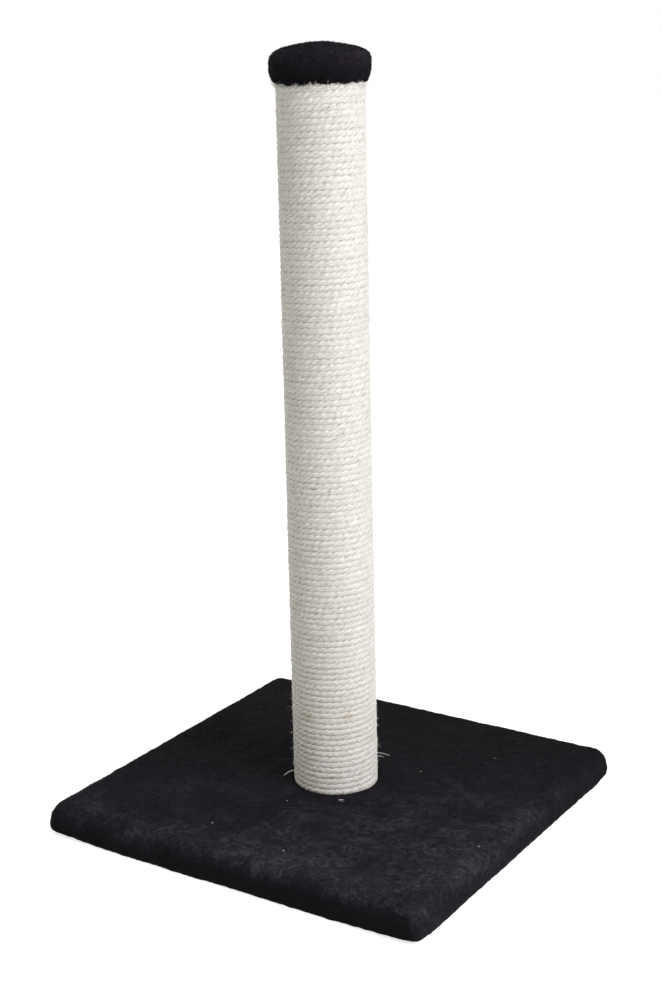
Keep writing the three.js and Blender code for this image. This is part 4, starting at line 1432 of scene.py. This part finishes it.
@dataclass
class CarriedFittings:
    """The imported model's own board, tube, plugs and steel, dressed where they are."""

    def build(self) -> None:
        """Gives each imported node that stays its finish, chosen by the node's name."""
        board, steel = ChipboardFinish().material(), ZincFinish().material()
        plush = PlushFinish("black_plush_solid").material()
        finishes = {
            **dict.fromkeys(("base_board", "bottom_plug", "top_plug", "cap_disc"), board),
            **dict.fromkeys(("base_plush_cover", "cap_plush_cover"), plush),
            "post_tube": CardboardFinish().material(),
            "sisal_rope": FibreFinish("sisal_solid").material(),
            "cap_wadding": WaddingFinish("wadding_solid").material(),
        }
        for name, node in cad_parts.items():
            finish = finishes.get(name, steel)
            node.data.materials.clear()
            node.data.materials.append(finish)
            log.info("%s: dressed in %s", name, finish.name)


@dataclass
class Studio:
    """A white room: the camera, a plain pale floor, one large soft lamp to the right, and the sky.

    Fields:
        lens, turned, raised, roll: Of the camera, in millimetres of a 36 mm picture and in degrees.
        stands: Where the camera is.
        key_at, key_level, key_across: Where the lamp is, the level it gives a white face turned to it at the
            post's middle, and its width.
        key_tint, sky_tint: The faint colours of the lamp's light and of the sky's.
        middle: The post's middle, at which it is aimed.
        sky_level: The level that the sky gives.
        floor_across, floor_glow: The floor's size, and how bright it shines where the camera sees it.
    """

    lens: float = 61.194
    turned: float = 33.248
    raised: float = 15.747
    roll: float = -1.291
    stands: tuple[float, float, float] = (0.84733, -1.29029, 0.74942)
    key_at: tuple[float, float, float] = (2.8, -0.4, 2.0)
    key_level: float = 0.8
    key_across: float = 1.9
    key_tint: tuple[float, float, float] = (0.985, 0.995, 1.04)
    sky_tint: tuple[float, float, float] = (1.0, 0.98, 0.925)
    middle: tuple[float, float, float] = (0.0, 0.0, 0.36)
    sky_level: float = 0.61
    floor_across: float = 28.0
    floor_glow: float = 0.72

    def camera(self) -> None:
        """A camera that looks from its place towards the post, a little rolled as the photograph's was."""
        turned, raised, roll = (math.radians(each) for each in (self.turned, self.raised, self.roll))
        right = Vector((math.cos(turned), math.sin(turned), 0))
        level = math.cos(raised)
        back = Vector((math.sin(turned) * level, -math.cos(turned) * level, math.sin(raised)))
        up = back.cross(right)
        across = math.cos(roll) * right + math.sin(roll) * up
        upward = -math.sin(roll) * right + math.cos(roll) * up
        data = bpy.data.cameras.new("photograph_view")
        data.lens, data.sensor_width, data.clip_start = self.lens, 36.0, 0.05
        camera = bpy.data.objects.new("photograph_view", data)
        turn = Matrix((across, upward, back)).transposed()
        camera.matrix_world = Matrix.Translation(self.stands) @ turn.to_4x4()
        bpy.context.scene.collection.objects.link(camera)
        bpy.context.scene.camera = camera

    def key(self) -> None:
        """One wide round lamp, whose power is its level times the square of pi times its distance."""
        aim = Vector(self.key_at) - Vector(self.middle)
        data = bpy.data.lights.new("key", "AREA")
        data.shape, data.size = "DISK", self.key_across
        data.energy, data.color = self.key_level * (math.pi * aim.length) ** 2, self.key_tint
        lamp = bpy.data.objects.new("key", data)
        lamp.matrix_world = Matrix.Translation(self.key_at) @ aim.to_track_quat("Z", "Y").to_matrix().to_4x4()
        lamp.visible_camera = False
        bpy.context.scene.collection.objects.link(lamp)

    def sky(self) -> None:
        """An even sky, white to the camera and in gloss."""
        recipe = Recipe("studio_sky", world=True)
        seen = self.seen(recipe)
        level = seen * (1 - self.sky_level) + self.sky_level
        tint = recipe.mixed(seen, self.sky_tint, (1.0, 1.0, 1.0))
        background = recipe.node("ShaderNodeBackground", {}, {"Color": tint, "Strength": level})
        recipe.node("ShaderNodeOutputWorld", {}, {"Surface": background})
        bpy.context.scene.world = recipe.owner

    def seen(self, recipe: Recipe) -> Value:
        """1 where the camera, gloss or glass looks, and 0 for the light that falls on things."""
        rays = [
            recipe.node("ShaderNodeLightPath", {}, {}, f"Is {kind} Ray")
            for kind in ("Camera", "Glossy", "Transmission")
        ]
        return reduce(lambda first, second: recipe.maths("MAXIMUM", first, second), rays)

    def floor(self) -> None:
        """A pale floor that the camera sees as white but for the post's soft shadow."""
        recipe = Recipe("pale_floor")
        grain = recipe.noise(recipe.place, 40, 2)
        shader = {
            "Base Color": recipe.mixed(grain, colour(214, 214, 214), colour(218, 218, 218)),
            "Roughness": 0.9,
            "Specular IOR Level": 0.0,
            "Emission Color": recipe.mixed(self.seen(recipe), (0.0, 0.0, 0.0), (1.0, 1.0, 1.0)),
            "Emission Strength": self.floor_glow,
        }
        half = self.floor_across / 2
        points = [(-half, -half, 0), (half, -half, 0), (half, half, 0), (-half, half, 0)]
        mesh = bpy.data.meshes.new("floor")
        mesh.from_pydata(points, [], [(0, 1, 2, 3)])
        mesh.materials.append(recipe.finished(shader))
        floor = bpy.data.objects.new("floor", mesh)
        bpy.context.scene.collection.objects.link(floor)

    def build(self) -> None:
        """Sets the camera, the lights and the floor, and the plain view transform."""
        self.camera()
        self.key()
        self.sky()
        self.floor()
        bpy.context.scene.view_settings.view_transform = "Standard"


def main() -> None:
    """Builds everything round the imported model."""
    logging.basicConfig(level=logging.INFO, format="%(name)s: %(message)s")
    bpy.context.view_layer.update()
    for part in (Studio(), CarriedFittings(), SisalPost(), PlushBase(), PlushCap(), Lint()):
        part.build()
        log.info("%s built", type(part).__name__)


if __name__ == "__main__":
    main()
